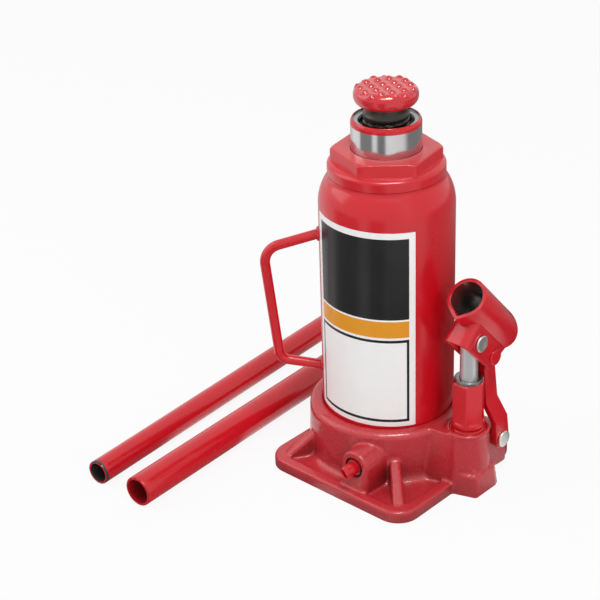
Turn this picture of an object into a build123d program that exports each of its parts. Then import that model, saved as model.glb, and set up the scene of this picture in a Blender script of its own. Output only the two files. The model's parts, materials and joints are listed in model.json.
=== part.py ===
from build123d import *
import os
from math import asin, atan2, cos, degrees, hypot, pi, radians, sin, sqrt

# Hydraulic bottle jack with a two-piece pump handle lying beside it, in millimetres.
# The origin is on the ground under the ram's axis and +Z runs up the ram.
# +X runs from the ram to the pump, and -Y is the side of the release valve.

# Clearances
running = 0.05
seat = 0.02
body_gap = 0.35

# Extra length of a cutter, or of a root buried in its neighbour
overcut = 1.0

# Points measured on each turn of a coil
coil_marks = 24

# Reservoir tank
tank_radius = 45.0
tank_wall = 3.0
tank_straight_top = 189.0
tank_shoulder = 32.0
tank_neck_radius = 38.6
tank_neck_height = 1.8
tank_neck_wall = 2.6

# Base casting
plate_left_margin = 6.0
plate_past_pump = 1.8
plate_front_margin = 27.1
plate_back_margin = 13.0
plate_front_corner = 16.0
plate_back_corner = 22.0
plate_edge = 8.0
plate_edge_round = 2.0
plate_border = 8.0
pocket_depth = 2.2
collar_wall = 9.2
collar_top = 42.5
collar_lip = 5.0
collar_foot_round = 5.0
collar_draft = 1.2
tank_seat_z = 30.0
rib_width = 8.0
rib_collar_z = 24.0
rib_round = 2.6

# Release valve and its boss
valve_x = 22.9
valve_z = 23.4
valve_boss_radius = 9.6
valve_boss_reach = 21.0
valve_boss_round = 2.0
valve_stem_radius = 4.5
valve_stem_out = 10.0
valve_stem_root = 38.0
valve_stem_bevel = 0.8
valve_stem_gap = 1.0
valve_notch_width = 3.4
valve_notch_depth = 4.0
valve_notch_turn = 45.0
valve_ring_wire = 1.6
valve_ring_inset = 9.0
valve_ball_radius = 3.0

# Pump and its boss
pump_beside_tank = 24.0
pump_boss_top = 44.2
pump_boss_radius = 15.0
pump_boss_foot_radius = 18.8
pump_boss_round = 2.2
pump_counterbore_radius = 12.6
pump_counterbore_depth = 5.0
bridge_front_top = 14.5
bridge_front_foot = 18.0
bridge_front_top_flare = 3.0
bridge_front_foot_flare = 10.0
bridge_back_top = 14.3
bridge_back_foot = 16.3
pump_foot_past_pump = 17.0
pump_foot_half = 12.5
pump_foot_flank_half = 18.0
pump_foot_top = 18.0
pump_foot_draft = 8.0
pump_foot_corner = 2.0
pump_shank_radius = 9.0
pump_shank_bottom = 19.0
pump_shank_gap = 1.0
pump_collar_radius = 11.0
pump_collar_height = 9.8
pump_hex_across = 19.7
pump_hex_top = 79.6
pump_hex_turn = 17.8
pump_hex_bevel = 1.2
gland_radius = 9.5
gland_height = 2.2
gland_bevel = 0.6
pump_gasket_height = 1.0

# Plunger, its pin and the stroke
plunger_radius = 6.0
plunger_bottom = 42.0
plunger_pin_z = 110.0
plunger_pin_radius = 3.5
plunger_eye_top = 6.6
plunger_top_round = 2.5
plunger_spigot_radius = 3.2
plunger_cup_height = 5.0
pin_head_radius = 5.7
pin_head_height = 1.4
pin_head_bevel = 0.45
pin_tail = 1.4
clip_height = 0.9
clip_groove_depth = 0.9
clip_radius = 6.0
clip_mouth_share = 0.8

# Handle socket, measured in a frame along its own tube
socket_tilt = 47.1
socket_bore_radius = 11.0
socket_wall = 2.5
socket_axis_above_pin = 19.1
socket_mouth_to_pin = 26.0
socket_rear_bulge = 29.2
socket_bulge_above_pin = 16.5
socket_straight_rear = 17.5
socket_tip_run = 26.0
socket_tip_drop = 9.2
socket_cheek_gap = 13.2
socket_cheek_wall = 2.8
socket_cheek_drop = 9.5
socket_nose_to_pin = 14.5
socket_nose_wall = 3.0
socket_nose_round = 5.0
socket_vee_depth = 16.3
socket_ear_radius = 6.8
socket_ear_turn = 45.0
socket_slot_above_pin = 10.5

# Pump links and their pins, in the plane of the pump's stroke
link_top_y = 15.4
link_top_z = 93.3
link_foot_y = 23.2
link_foot_z = 27.5
link_thickness = 4.4
link_foot_half = 6.8
link_top_half = 5.4
link_eye_radius = 7.0
link_upper_half_gap = 0.4
link_bend_low = 16.5
link_bend_high = 30.0
link_top_pin_radius = 3.2
link_top_pin_slack = 1.7
lug_pin_radius = 4.5
lug_half_width = 7.4
lug_radius = 9.6
lug_rear = 34.0
lug_bevel = 1.5
lug_bottom = 3.0

# Ram, pressure cylinder and cap nut
ram_radius = 23.0
ram_stand = 20.4
ram_top_round = 3.2
ram_mouth_radius = 16.6
ram_mouth_depth = 6.0
ram_mouth_bevel = 3.0
ram_thread_length = 30.0
ram_bore_room = 10.0
piston_height = 12.0
piston_cup_height = 7.0
piston_cup_land = 19.0
piston_cup_lip = 1.6
piston_spigot_radius = 11.0
piston_washer_radius = 20.0
piston_washer_height = 2.5
piston_screw_radius = 4.0
piston_screw_head = 7.5
piston_screw_head_height = 4.0
piston_screw_length = 14.0
piston_screw_gap = 1.0
piston_floor_gap = 1.2
cylinder_bore_radius = 26.0
cylinder_wall = 4.0
cylinder_recess = 4.0
cylinder_washer = 1.0
cylinder_thread = 12.0
cylinder_below_nut = 3.65
nut_flange_height = 8.1
nut_flange_round = 2.0
nut_hex_radius = 36.1
nut_hex_height = 8.4
nut_hex_turn = 40.8
nut_chamfer_radius = 33.8
nut_chamfer_drop = 0.9
tank_seal_height = 0.7
wiper_width = 3.0
wiper_depth = 2.0
wiper_below_top = 6.0

# Extension screw and saddle
screw_radius = 15.2
screw_neck_radius = 14.4
screw_neck_height = 3.0
screw_length = 104.5
screw_foot_radius = 11.0
stop_ring_radius = 16.3
stop_ring_height = 4.0
saddle_radius = 20.7
saddle_above_ram = 8.9
saddle_height = 12.3
saddle_edge = 4.4
saddle_spigot_radius = 9.0
saddle_spigot_depth = 10.0
bump_radius = 3.2
bump_height = 1.1
bump_root = 1.6
bump_draft = 25.0
bump_pitch = 7.8
bump_turn = 63.0
bump_shift_x = 2.6
bump_shift_y = 0.5
bump_field_radius = 18.2
bump_sides = 8

# Carry handle, a bent rod welded to the tank, in a plane through the ram's axis
carry_turn = 223.0
carry_rod_radius = 3.4
carry_top_z = 166.9
carry_bottom_z = 67.6
carry_top_reach = 37.2
carry_top_corner_z = 156.6
carry_bottom_reach = 28.7
carry_bottom_corner_z = 73.4
carry_top_bend = 13.0
carry_bottom_bend = 8.0
carry_weld_radius = 5.0
carry_weld_length = 3.0
carry_weld_draft = 25.0

# Filler plug on the far side of the tank
filler_turn = 100.0
filler_z = 160.0
filler_radius = 5.0
filler_head_radius = 8.0
filler_head_height = 3.0
filler_head_bevel = 2.0
filler_lip = 0.6
filler_lip_length = 2.0

# Check, release and relief valves in the base
check_ball_radius = 3.0
check_bore_radius = 3.4
check_bore_depth = 9.0
oil_hole_radius = 1.5
oil_inlet_turn = 25.0
delivery_z = 15.5
delivery_inner_x = 12.0
return_inner_reach = 12.0
relief_beside = 20.0
relief_z = 15.0
relief_ball_radius = 2.5
relief_bore_radius = 3.2
relief_screw_length = 7.0
relief_screw_sink = 1.5
relief_key_across = 3.0
relief_key_depth = 3.5
relief_spring_radius = 2.2
relief_spring_wire = 0.45
relief_spring_pitch = 2.2
relief_spring_turns = 5
spring_wire_sides = 6
inlet_spring_pitch = 1.9
inlet_spring_turns = 2

# Pump handle tubes on the ground
thick_tube_radius = 10.65
thick_tube_wall = 1.7
thick_tube_beside = 81.7
thick_tube_turn = 3.2
slim_tube_radius = 8.6
slim_tube_wall = 1.6
slim_tube_beside = 121.9
slim_tube_turn = 4.3
tube_length = 320.0
tube_near = 163.6
slim_notch_width = 4.5
slim_notch_depth = 9.0

# Levels and radii that follow from the sizes above
pump_x = tank_radius + pump_beside_tank
plate_left = tank_radius + plate_left_margin
plate_right = pump_x + plate_past_pump
plate_front = tank_radius + plate_front_margin
plate_back = tank_radius + plate_back_margin
valve_boss_face = tank_radius + valve_boss_reach
pump_foot_reach = pump_x + pump_foot_past_pump
relief_x = -relief_beside
collar_bore = tank_radius + running
collar_radius = collar_bore + collar_wall
tank_bottom = tank_seat_z + tank_seal_height
tank_shoulder_rise = sqrt(tank_shoulder**2 - (tank_shoulder - tank_radius + tank_neck_radius) ** 2)
tank_top = tank_straight_top + tank_shoulder_rise + tank_neck_height
nut_bottom = tank_top + tank_seal_height
nut_hex_bottom = nut_bottom + nut_flange_height
nut_top = nut_hex_bottom + nut_hex_height
ram_top = nut_top + ram_stand
saddle_bottom = ram_top + saddle_above_ram
screw_bottom = saddle_bottom - screw_length
ram_bore_bottom = screw_bottom - ram_bore_room
cylinder_radius = cylinder_bore_radius + cylinder_wall
cylinder_floor = tank_seat_z - cylinder_recess
cylinder_bottom = cylinder_floor + cylinder_washer
piston_screw_bottom = cylinder_floor + piston_floor_gap
piston_washer_bottom = piston_screw_bottom + piston_screw_head_height
piston_cup_bottom = piston_washer_bottom + piston_washer_height
piston_bottom = piston_cup_bottom + piston_cup_height
piston_top = piston_bottom + piston_height
cylinder_top = nut_bottom - cylinder_below_nut
ram_thread_radius = screw_radius + running
ram_bore_radius = stop_ring_radius + body_gap
ram_thread_top = ram_top - ram_mouth_depth
ram_thread_bottom = ram_thread_top - ram_thread_length
pocket_floor = plate_edge - pocket_depth
pump_seat_z = pump_boss_top - pump_counterbore_depth
pump_body_bottom = pump_seat_z + pump_gasket_height
pump_hex_bottom = pump_body_bottom + pump_collar_height
plunger_bore = plunger_radius + running
cheek_inner = socket_cheek_gap / 2
cheek_outer = cheek_inner + socket_cheek_wall
socket_outer = socket_bore_radius + socket_wall
link_lower_inner = lug_half_width + body_gap
link_lower_outer = link_lower_inner + link_thickness
link_upper_outer = link_upper_half_gap + link_thickness


def write(node, solid):
    """Write one named piece, a solid or a group of separate solids."""
    solid.label = node
    export_step(solid, f"parts/{node}.step")


def turned(*outline):
    """A solid of revolution about Z from a closed outline of edges in the X-Z plane."""
    return revolve(Plane.XZ * make_face(Curve() + list(outline)), Axis.Z)


def lathe(*corners):
    """A solid of revolution about Z from the (radius, height) corners of its half section."""
    return turned(Polyline(*corners, close=True))


def rod(radius, bottom, top):
    """An upright round bar on the Z axis."""
    return Pos(0, 0, bottom) * extrude(Circle(radius), top - bottom)


def ring(outer, inner, bottom, top):
    """An upright round ring on the Z axis."""
    return Pos(0, 0, bottom) * extrude(Circle(outer) - Circle(inner), top - bottom)


def cross_rod(radius, start, end, y, z):
    """A round bar along X at the given Y and Z."""
    return Pos(start, y, z) * Rot(0, 90, 0) * extrude(Circle(radius), end - start)


def depth_rod(radius, start, end, x, z):
    """A round bar along Y at the given X and Z."""
    return Pos(x, start, z) * Rot(-90, 0, 0) * extrude(Circle(radius), end - start)


def bar(radius, start, end):
    """A round bar between two points."""
    span = Vector(end) - Vector(start)
    return extrude(Plane(origin=start, z_dir=span) * Circle(radius), span.length)


def stroke_slab(face, start, end):
    """Extrude a face drawn in (Y, Z) along X, from one X to another."""
    plane = Plane(origin=(start, 0, 0), x_dir=(0, 1, 0), z_dir=(1, 0, 0))
    return extrude(plane * face, end - start)


def helix_tube(radius, wire, pitch, turns, bottom):
    """A coil spring about Z: one tube swept along two tangent arcs for each half turn of a helix."""
    rise = pitch / 2
    slope = pitch / (2 * pi)
    run = hypot(radius, slope)
    edges = []
    for half in range(2 * turns):
        side = 1 if half % 2 == 0 else -1
        start = Vector(side * radius, 0, bottom + half * rise)
        end = Vector(-side * radius, 0, bottom + (half + 1) * rise)
        leave = Vector(0, side * radius / run, slope / run)
        arrive = Vector(0, -side * radius / run, slope / run)
        span = end - start
        both = leave + arrive
        facing = 2 - 2 * leave.dot(arrive)
        along = span.dot(both)
        reach = (-along + sqrt(along**2 + facing * span.dot(span))) / facing
        joint = (start + leave * reach + end - arrive * reach) * 0.5
        edges.append(TangentArc(start, joint, tangent=leave))
        edges.append(TangentArc(joint, end, tangent=(end - arrive * reach - joint)))
    path = Wire(edges)
    print(f"least gap between turns {coil_gap(path, turns) - 2 * wire:.2f} mm")
    section = Plane(origin=path @ 0, z_dir=path % 0) * RegularPolygon(wire, spring_wire_sides)
    return sweep(section, path=path)


def coil_gap(path, turns):
    """Least distance between points of a coil's path that are at least half a turn apart."""
    marks = [path @ (step / (turns * coil_marks)) for step in range(turns * coil_marks + 1)]
    gaps = []
    for index, mark in enumerate(marks):
        gaps += [(other - mark).length for other in marks[index + coil_marks // 2 :]]
    return min(gaps)


def make_tank():
    """Spun steel tank: a straight wall, a rounded shoulder and a short neck, with the filler hole."""
    centre = tank_radius - tank_shoulder
    inner = tank_shoulder - tank_wall
    neck_inner = tank_neck_radius - tank_neck_wall
    inner_rise = sqrt(inner**2 - (neck_inner - centre) ** 2)
    middle = asin(tank_shoulder_rise / tank_shoulder) / 2
    inner_middle = asin(inner_rise / inner) / 2
    neck_z = tank_straight_top + tank_shoulder_rise
    outline = [
        Line((tank_radius, tank_bottom), (tank_radius, tank_straight_top)),
        ThreePointArc(
            (tank_radius, tank_straight_top),
            (centre + tank_shoulder * cos(middle), tank_straight_top + tank_shoulder * sin(middle)),
            (tank_neck_radius, neck_z),
        ),
        Line((tank_neck_radius, neck_z), (tank_neck_radius, tank_top)),
        Line((tank_neck_radius, tank_top), (neck_inner, tank_top)),
        Line((neck_inner, tank_top), (neck_inner, tank_straight_top + inner_rise)),
        ThreePointArc(
            (neck_inner, tank_straight_top + inner_rise),
            (centre + inner * cos(inner_middle), tank_straight_top + inner * sin(inner_middle)),
            (tank_radius - tank_wall, tank_straight_top),
        ),
        Line((tank_radius - tank_wall, tank_straight_top), (tank_radius - tank_wall, tank_bottom)),
        Line((tank_radius - tank_wall, tank_bottom), (tank_radius, tank_bottom)),
    ]
    return turned(*outline) - filler_place() * rod(filler_radius + seat, -tank_radius, tank_radius)


def filler_place():
    """A frame on the tank's wall whose Z axis points straight out of the filler hole."""
    return Pos(0, 0, filler_z) * Rot(0, 0, filler_turn) * Pos(tank_radius, 0, 0) * Rot(0, 90, 0)


def make_filler_plug():
    """Rubber plug: a domed head outside the wall, a shank in the hole and a lip behind the wall."""
    behind = -tank_wall - 2 * body_gap
    head_base = body_gap
    plug = lathe(
        (0, behind - filler_lip_length),
        (filler_radius - filler_lip, behind - filler_lip_length),
        (filler_radius - running, behind),
        (filler_radius - running, head_base),
        (filler_head_radius, head_base),
        (filler_head_radius, head_base + filler_head_height / 2),
        (filler_head_radius - filler_head_bevel, head_base + filler_head_height),
        (0, head_base + filler_head_height),
    )
    return filler_place() * plug


def plate_outline(inset):
    """The base plate's outline drawn in by an inset, with wider corners at the back."""
    length = plate_left + plate_right - 2 * inset
    width = plate_front + plate_back - 2 * inset
    outline = Pos((plate_right - plate_left) / 2, (plate_back - plate_front) / 2) * Rectangle(length, width)
    outline = fillet(outline.vertices().group_by(Axis.Y)[0], plate_front_corner - inset / 2)
    return fillet(outline.vertices().group_by(Axis.Y)[-1], plate_back_corner - inset / 2)


def make_ribs():
    """Four ribs that fall from the collar to the plate's corners."""
    front_y = plate_front_corner - plate_front
    back_y = plate_back - plate_back_corner
    corners = [
        (plate_right - plate_front_corner, front_y, plate_front_corner),
        (plate_front_corner - plate_left, front_y, plate_front_corner),
        (plate_right - plate_back_corner, back_y, plate_back_corner),
        (plate_back_corner - plate_left, back_y, plate_back_corner),
    ]
    bottom = pocket_floor - overcut
    ribs = []
    for corner_x, corner_y, corner_radius in corners:
        reach = hypot(corner_x, corner_y) + corner_radius - plate_border / 2
        fall = (rib_collar_z - pocket_floor) / (reach - collar_radius)
        profile = Polyline(
            (collar_bore, bottom),
            (collar_bore, rib_collar_z + fall * collar_wall),
            (reach, pocket_floor),
            (reach, bottom),
            close=True,
        )
        rib = extrude(Plane.XZ * make_face(profile), rib_width / 2, both=True)
        sloping = rib.edges().filter_by(Axis.Y, reverse=True).sort_by(Axis.Z)[-2:]
        rib = fillet(sloping, rib_round)
        ribs.append(Rot(0, 0, degrees(atan2(corner_y, corner_x))) * rib)
    return ribs


def make_collar():
    """The round wall that the tank stands in, with a rolled lip, and a rounded foot on the plate."""
    foot_radius = collar_radius + collar_draft
    lip_z = collar_top - collar_lip
    bow = collar_lip * (1 - sqrt(0.5))
    wall = turned(
        Line((0, 0), (foot_radius, 0)),
        Line((foot_radius, 0), (collar_radius, lip_z)),
        ThreePointArc(
            (collar_radius, lip_z),
            (collar_radius - bow, collar_top - bow),
            (collar_radius - collar_lip, collar_top),
        ),
        Line((collar_radius - collar_lip, collar_top), (0, collar_top)),
        Line((0, collar_top), (0, 0)),
    )
    foot_bow = collar_foot_round * (1 - sqrt(0.5))
    foot_z = pocket_floor + collar_foot_round
    foot_edge = foot_radius + collar_foot_round
    bottom = pocket_floor - overcut
    root = collar_radius - overcut
    foot = turned(
        Line((root, bottom), (foot_edge, bottom)),
        Line((foot_edge, bottom), (foot_edge, pocket_floor)),
        ThreePointArc(
            (foot_edge, pocket_floor),
            (foot_radius + foot_bow, pocket_floor + foot_bow),
            (foot_radius, foot_z),
        ),
        Line((foot_radius, foot_z), (root, foot_z)),
        Line((root, foot_z), (root, bottom)),
    )
    return [wall, foot & extrude(plate_outline(plate_border / 2), collar_top)]


def make_valve_boss():
    """Arched boss on the front of the collar that holds the release valve."""
    arch = Pos(0, valve_z / 2) * Rectangle(2 * valve_boss_radius, valve_z) + Pos(0, valve_z) * Circle(
        valve_boss_radius
    )
    length = valve_boss_face - tank_radius
    plane = Plane(origin=(valve_x, -tank_radius, 0), x_dir=(1, 0, 0), z_dir=(0, -1, 0))
    boss = extrude(plane * arch, length)
    front = boss.faces().sort_by(Axis.Y)[0]
    rims = front.edges().filter_by(lambda edge: edge.center().Z > plate_edge)
    return fillet(rims, valve_boss_round)


def make_pump_boss():
    """Tapered round boss for the pump, its cornered foot and the bridge that joins it to the collar."""
    bow = pump_boss_round * (1 - sqrt(0.5))
    boss = Pos(pump_x, 0, 0) * turned(
        Line((0, 0), (pump_boss_foot_radius, 0)),
        Line((pump_boss_foot_radius, 0), (pump_boss_radius, pump_boss_top - pump_boss_round)),
        ThreePointArc(
            (pump_boss_radius, pump_boss_top - pump_boss_round),
            (pump_boss_radius - bow, pump_boss_top - bow),
            (pump_boss_radius - pump_boss_round, pump_boss_top),
        ),
        Line((pump_boss_radius - pump_boss_round, pump_boss_top), (0, pump_boss_top)),
        Line((0, pump_boss_top), (0, 0)),
    )
    inside = tank_radius - tank_wall
    low = Polyline(
        (inside, -bridge_front_foot - bridge_front_foot_flare),
        (pump_x, -bridge_front_foot),
        (pump_x, bridge_back_foot),
        (inside, bridge_back_foot),
        close=True,
    )
    high = Polyline(
        (inside, -bridge_front_top - bridge_front_top_flare),
        (pump_x, -bridge_front_top),
        (pump_x, bridge_back_top),
        (inside, bridge_back_top),
        close=True,
    )
    bridge = loft([make_face(low), Pos(0, 0, collar_top - body_gap) * make_face(high)])
    foot_outline = Polyline(
        (pump_x - pump_boss_radius, -pump_foot_flank_half),
        (plate_right, -pump_foot_flank_half),
        (pump_foot_reach, -pump_foot_half),
        (pump_foot_reach, pump_foot_half),
        (plate_right, pump_foot_flank_half),
        (pump_x - pump_boss_radius, pump_foot_flank_half),
        close=True,
    )
    foot_face = make_face(foot_outline)
    foot_face = fillet(foot_face.vertices().sort_by(Axis.X)[-4:], pump_foot_corner)
    foot = extrude(foot_face, pump_foot_top, taper=pump_foot_draft)
    return [boss, bridge, foot]


def make_lug():
    """Wide lug behind the pump boss that carries the links' lower pin."""
    outline = Polyline(
        (0, lug_bottom),
        (lug_rear - lug_bevel, lug_bottom),
        (lug_rear, lug_bottom + lug_bevel),
        (link_foot_y + lug_radius, link_foot_z),
        (link_foot_y, link_foot_z + lug_radius),
        (0, link_foot_z + lug_radius),
        close=True,
    )
    face = make_face(outline) + Pos(link_foot_y, link_foot_z) * Circle(lug_radius)
    return stroke_slab(face, pump_x - lug_half_width, pump_x + lug_half_width)


def make_base():
    """Base casting: bordered plate, collar, ribs, bosses and lug, bored for the parts that it holds."""
    plate = extrude(plate_outline(0), plate_edge)
    plate = fillet(plate.faces().sort_by(Axis.Z)[-1].edges(), plate_edge_round)
    pocket = Pos(0, 0, pocket_floor) * extrude(plate_outline(plate_border), pocket_depth + overcut)
    base = plate - pocket
    base = base + make_collar() + make_ribs() + make_pump_boss() + [make_valve_boss(), make_lug()]
    base -= rod(collar_bore, tank_seat_z, pump_boss_top)
    base -= rod(cylinder_radius + running, cylinder_floor, pump_boss_top)
    pump_hole = rod(pump_counterbore_radius, pump_seat_z, pump_boss_top + overcut)
    pump_hole += rod(pump_shank_radius + seat, pump_shank_bottom - pump_shank_gap, pump_boss_top)
    pump_hole += rod(check_bore_radius, inlet_ball_z() - check_ball_radius, pump_shank_bottom)
    base -= Pos(pump_x, 0, 0) * pump_hole
    stem_mouth = (valve_x, -valve_boss_face - overcut, valve_z)
    stem_end = (valve_x, -valve_stem_root + valve_stem_gap, valve_z)
    base -= bar(valve_stem_radius + running, stem_mouth, stem_end)
    base -= bar(valve_ball_radius + seat, stem_mouth, (valve_x, release_seat_y(), valve_z))
    pin_start = (pump_x - lug_half_width - overcut, link_foot_y, link_foot_z)
    pin_end = (pump_x + lug_half_width + overcut, link_foot_y, link_foot_z)
    base -= bar(lug_pin_radius + seat, pin_start, pin_end)
    relief_mouth = (relief_x, plate_back, relief_z)
    base -= bar(relief_bore_radius, (relief_x, relief_seat_y(), relief_z), relief_mouth)
    for hole in oil_holes():
        base -= hole
    return base


def inlet_ball_z():
    """Height of the inlet ball's centre, at the bottom of its bore under the pump."""
    return pump_shank_bottom - check_bore_depth + check_ball_radius


def relief_face_y():
    """Where the relief valve's bore comes out of the collar's back."""
    return sqrt(collar_radius**2 - relief_x**2)


def relief_seat_y():
    """Depth of the relief ball's seat behind the collar's back."""
    inward = relief_screw_sink + relief_screw_length + relief_spring_length() + 2 * relief_ball_radius
    return relief_face_y() - inward


def relief_spring_length():
    """Closed length of the relief spring, from one end of its tube to the other."""
    return relief_spring_pitch * relief_spring_turns + 2 * relief_spring_wire


def release_seat_y():
    """Depth of the release ball's seat, where its bore ends."""
    return -valve_stem_root + 2 * valve_ball_radius + body_gap


def oil_holes():
    """Drilled oil passages: inlet from the tank, delivery to the cylinder and the two returns."""
    inlet_z = inlet_ball_z() - check_ball_radius
    inlet_reach = (cylinder_radius + tank_radius - tank_wall) / 2
    inlet_x = inlet_reach * cos(radians(oil_inlet_turn))
    inlet_y = inlet_reach * sin(radians(oil_inlet_turn))
    inlet_top = (inlet_x, inlet_y, tank_seat_z + overcut)
    delivery_end = (delivery_inner_x, 0, delivery_z)
    delivery_top = (delivery_inner_x, 0, cylinder_floor + overcut)
    return_end = (valve_x, -return_inner_reach, valve_z)
    relief_end = (relief_x, 0, relief_z)
    return [
        bar(oil_hole_radius, (inlet_x, inlet_y, inlet_z), (pump_x, 0, inlet_z)),
        bar(oil_hole_radius, (inlet_x, inlet_y, inlet_z), inlet_top),
        bar(oil_hole_radius, (pump_x, 0, delivery_z), delivery_end),
        bar(oil_hole_radius, delivery_end, delivery_top),
        bar(oil_hole_radius, (valve_x, release_seat_y() - overcut, valve_z), return_end),
        bar(oil_hole_radius, return_end, (valve_x, -return_inner_reach, tank_seat_z)),
        bar(oil_hole_radius, relief_end, (relief_x, relief_seat_y() + overcut, relief_z)),
        bar(oil_hole_radius, relief_end, (relief_x, 0, tank_seat_z)),
    ]


def make_cylinder():
    """Pressure cylinder standing on the base inside the tank, screwed into the cap nut at its top."""
    return ring(cylinder_radius, cylinder_bore_radius, cylinder_bottom, cylinder_top)


def make_cap_nut():
    """Hexagon nut with a round flange, a skirt over the cylinder and the bore that guides the ram."""
    bow = nut_flange_round * (1 - sqrt(0.5))
    skirt = tank_neck_radius - tank_neck_wall - body_gap
    guide = ram_radius + running
    thread = cylinder_radius + seat
    thread_floor = cylinder_top + seat
    skirt_bottom = thread_floor - cylinder_thread
    body = turned(
        Line((guide, thread_floor), (thread, thread_floor)),
        Line((thread, thread_floor), (thread, skirt_bottom)),
        Line((thread, skirt_bottom), (skirt, skirt_bottom)),
        Line((skirt, skirt_bottom), (skirt, nut_bottom)),
        Line((skirt, nut_bottom), (tank_neck_radius, nut_bottom)),
        Line((tank_neck_radius, nut_bottom), (tank_neck_radius, nut_hex_bottom - nut_flange_round)),
        ThreePointArc(
            (tank_neck_radius, nut_hex_bottom - nut_flange_round),
            (tank_neck_radius - bow, nut_hex_bottom - bow),
            (tank_neck_radius - nut_flange_round, nut_hex_bottom),
        ),
        Line((tank_neck_radius - nut_flange_round, nut_hex_bottom), (guide, nut_hex_bottom)),
        Line((guide, nut_hex_bottom), (guide, thread_floor)),
    )
    hexagon = Pos(0, 0, nut_hex_bottom) * Rot(0, 0, nut_hex_turn) * extrude(
        RegularPolygon(nut_hex_radius, 6), nut_hex_height
    )
    crown_radius = nut_hex_radius + overcut
    slope = nut_chamfer_drop / (nut_hex_radius - nut_chamfer_radius)
    fall = slope * (crown_radius - nut_chamfer_radius)
    crown = lathe(
        (0, nut_hex_bottom),
        (crown_radius, nut_hex_bottom),
        (crown_radius, nut_top - fall),
        (nut_chamfer_radius, nut_top),
        (0, nut_top),
    )
    nut = body + (hexagon & crown)
    nut -= rod(guide, nut_hex_bottom - overcut, nut_top + overcut)
    groove_top = nut_top - wiper_below_top
    return nut - ring(ram_radius + wiper_depth, ram_radius, groove_top - wiper_width, groove_top)


def make_wiper():
    """Rubber ring in the cap nut's groove that wipes the ram."""
    top = nut_top - wiper_below_top - seat
    bottom = nut_top - wiper_below_top - wiper_width + seat
    return ring(ram_radius + wiper_depth - seat, ram_radius + running, bottom, top)


def make_ram():
    """Ram: a hollow steel post with a rounded mouth, a bore for the screw and a piston land at its foot."""
    bow = ram_top_round * (1 - sqrt(0.5))
    bevel_radius = ram_mouth_radius + ram_mouth_bevel
    land = cylinder_bore_radius - running
    post = turned(
        Line((0, piston_cup_bottom), (piston_spigot_radius, piston_cup_bottom)),
        Line((piston_spigot_radius, piston_cup_bottom), (piston_spigot_radius, piston_bottom)),
        Line((piston_spigot_radius, piston_bottom), (land, piston_bottom)),
        Line((land, piston_bottom), (land, piston_top)),
        Line((land, piston_top), (ram_radius, piston_top)),
        Line((ram_radius, piston_top), (ram_radius, ram_top - ram_top_round)),
        ThreePointArc(
            (ram_radius, ram_top - ram_top_round),
            (ram_radius - bow, ram_top - bow),
            (ram_radius - ram_top_round, ram_top),
        ),
        Line((ram_radius - ram_top_round, ram_top), (bevel_radius, ram_top)),
        Line((bevel_radius, ram_top), (ram_mouth_radius, ram_top - ram_mouth_bevel / 2)),
        Line((ram_mouth_radius, ram_top - ram_mouth_bevel / 2), (ram_mouth_radius, ram_thread_top)),
        Line((ram_mouth_radius, ram_thread_top), (ram_thread_radius, ram_thread_top)),
        Line((ram_thread_radius, ram_thread_top), (ram_thread_radius, ram_thread_bottom)),
        Line((ram_thread_radius, ram_thread_bottom), (ram_bore_radius, ram_thread_bottom)),
        Line((ram_bore_radius, ram_thread_bottom), (ram_bore_radius, ram_bore_bottom)),
        Line((ram_bore_radius, ram_bore_bottom), (0, ram_bore_bottom)),
        Line((0, ram_bore_bottom), (0, piston_cup_bottom)),
    )
    hole_top = piston_washer_bottom + piston_screw_length
    return post - rod(piston_screw_radius + seat, piston_cup_bottom - overcut, hole_top)


def make_piston_cup():
    """Cup seal under the piston, with a grooved lower face that spreads under pressure."""
    outer = cylinder_bore_radius - running
    inner = piston_spigot_radius + seat
    bottom = piston_cup_bottom + seat
    groove_top = bottom + piston_cup_height / 2
    return lathe(
        (inner, bottom),
        (piston_cup_land, bottom),
        (piston_cup_land + piston_cup_lip, groove_top),
        (outer - piston_cup_lip, groove_top),
        (outer - piston_cup_lip / 2, bottom),
        (outer, bottom),
        (outer, piston_bottom - seat),
        (inner, piston_bottom - seat),
    )


def make_piston_screw():
    """Screw that clamps the cup's washer to the foot of the ram."""
    tip = piston_washer_bottom + piston_screw_length - piston_screw_gap
    hexagon = Pos(0, 0, piston_screw_bottom) * extrude(
        RegularPolygon(piston_screw_head, 6), piston_screw_head_height - seat
    )
    return hexagon + rod(piston_screw_radius, piston_screw_bottom, tip)


def make_screw():
    """Extension screw: thread envelope, a smooth neck under the saddle and a foot for the stop ring."""
    neck_bottom = saddle_bottom - screw_neck_height
    screw = rod(screw_radius, screw_bottom + stop_ring_height, neck_bottom)
    screw += rod(screw_neck_radius, neck_bottom - overcut, saddle_bottom)
    screw += rod(screw_foot_radius, screw_bottom, neck_bottom)
    spigot_floor = saddle_bottom - saddle_spigot_depth - body_gap
    return screw - rod(saddle_spigot_radius + seat, spigot_floor, saddle_bottom + overcut)


def make_stop_ring():
    """Loose ring round the screw's foot that stops it from leaving the ram."""
    top = screw_bottom + stop_ring_height - body_gap
    return ring(stop_ring_radius, screw_foot_radius + running, screw_bottom, top)


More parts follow.
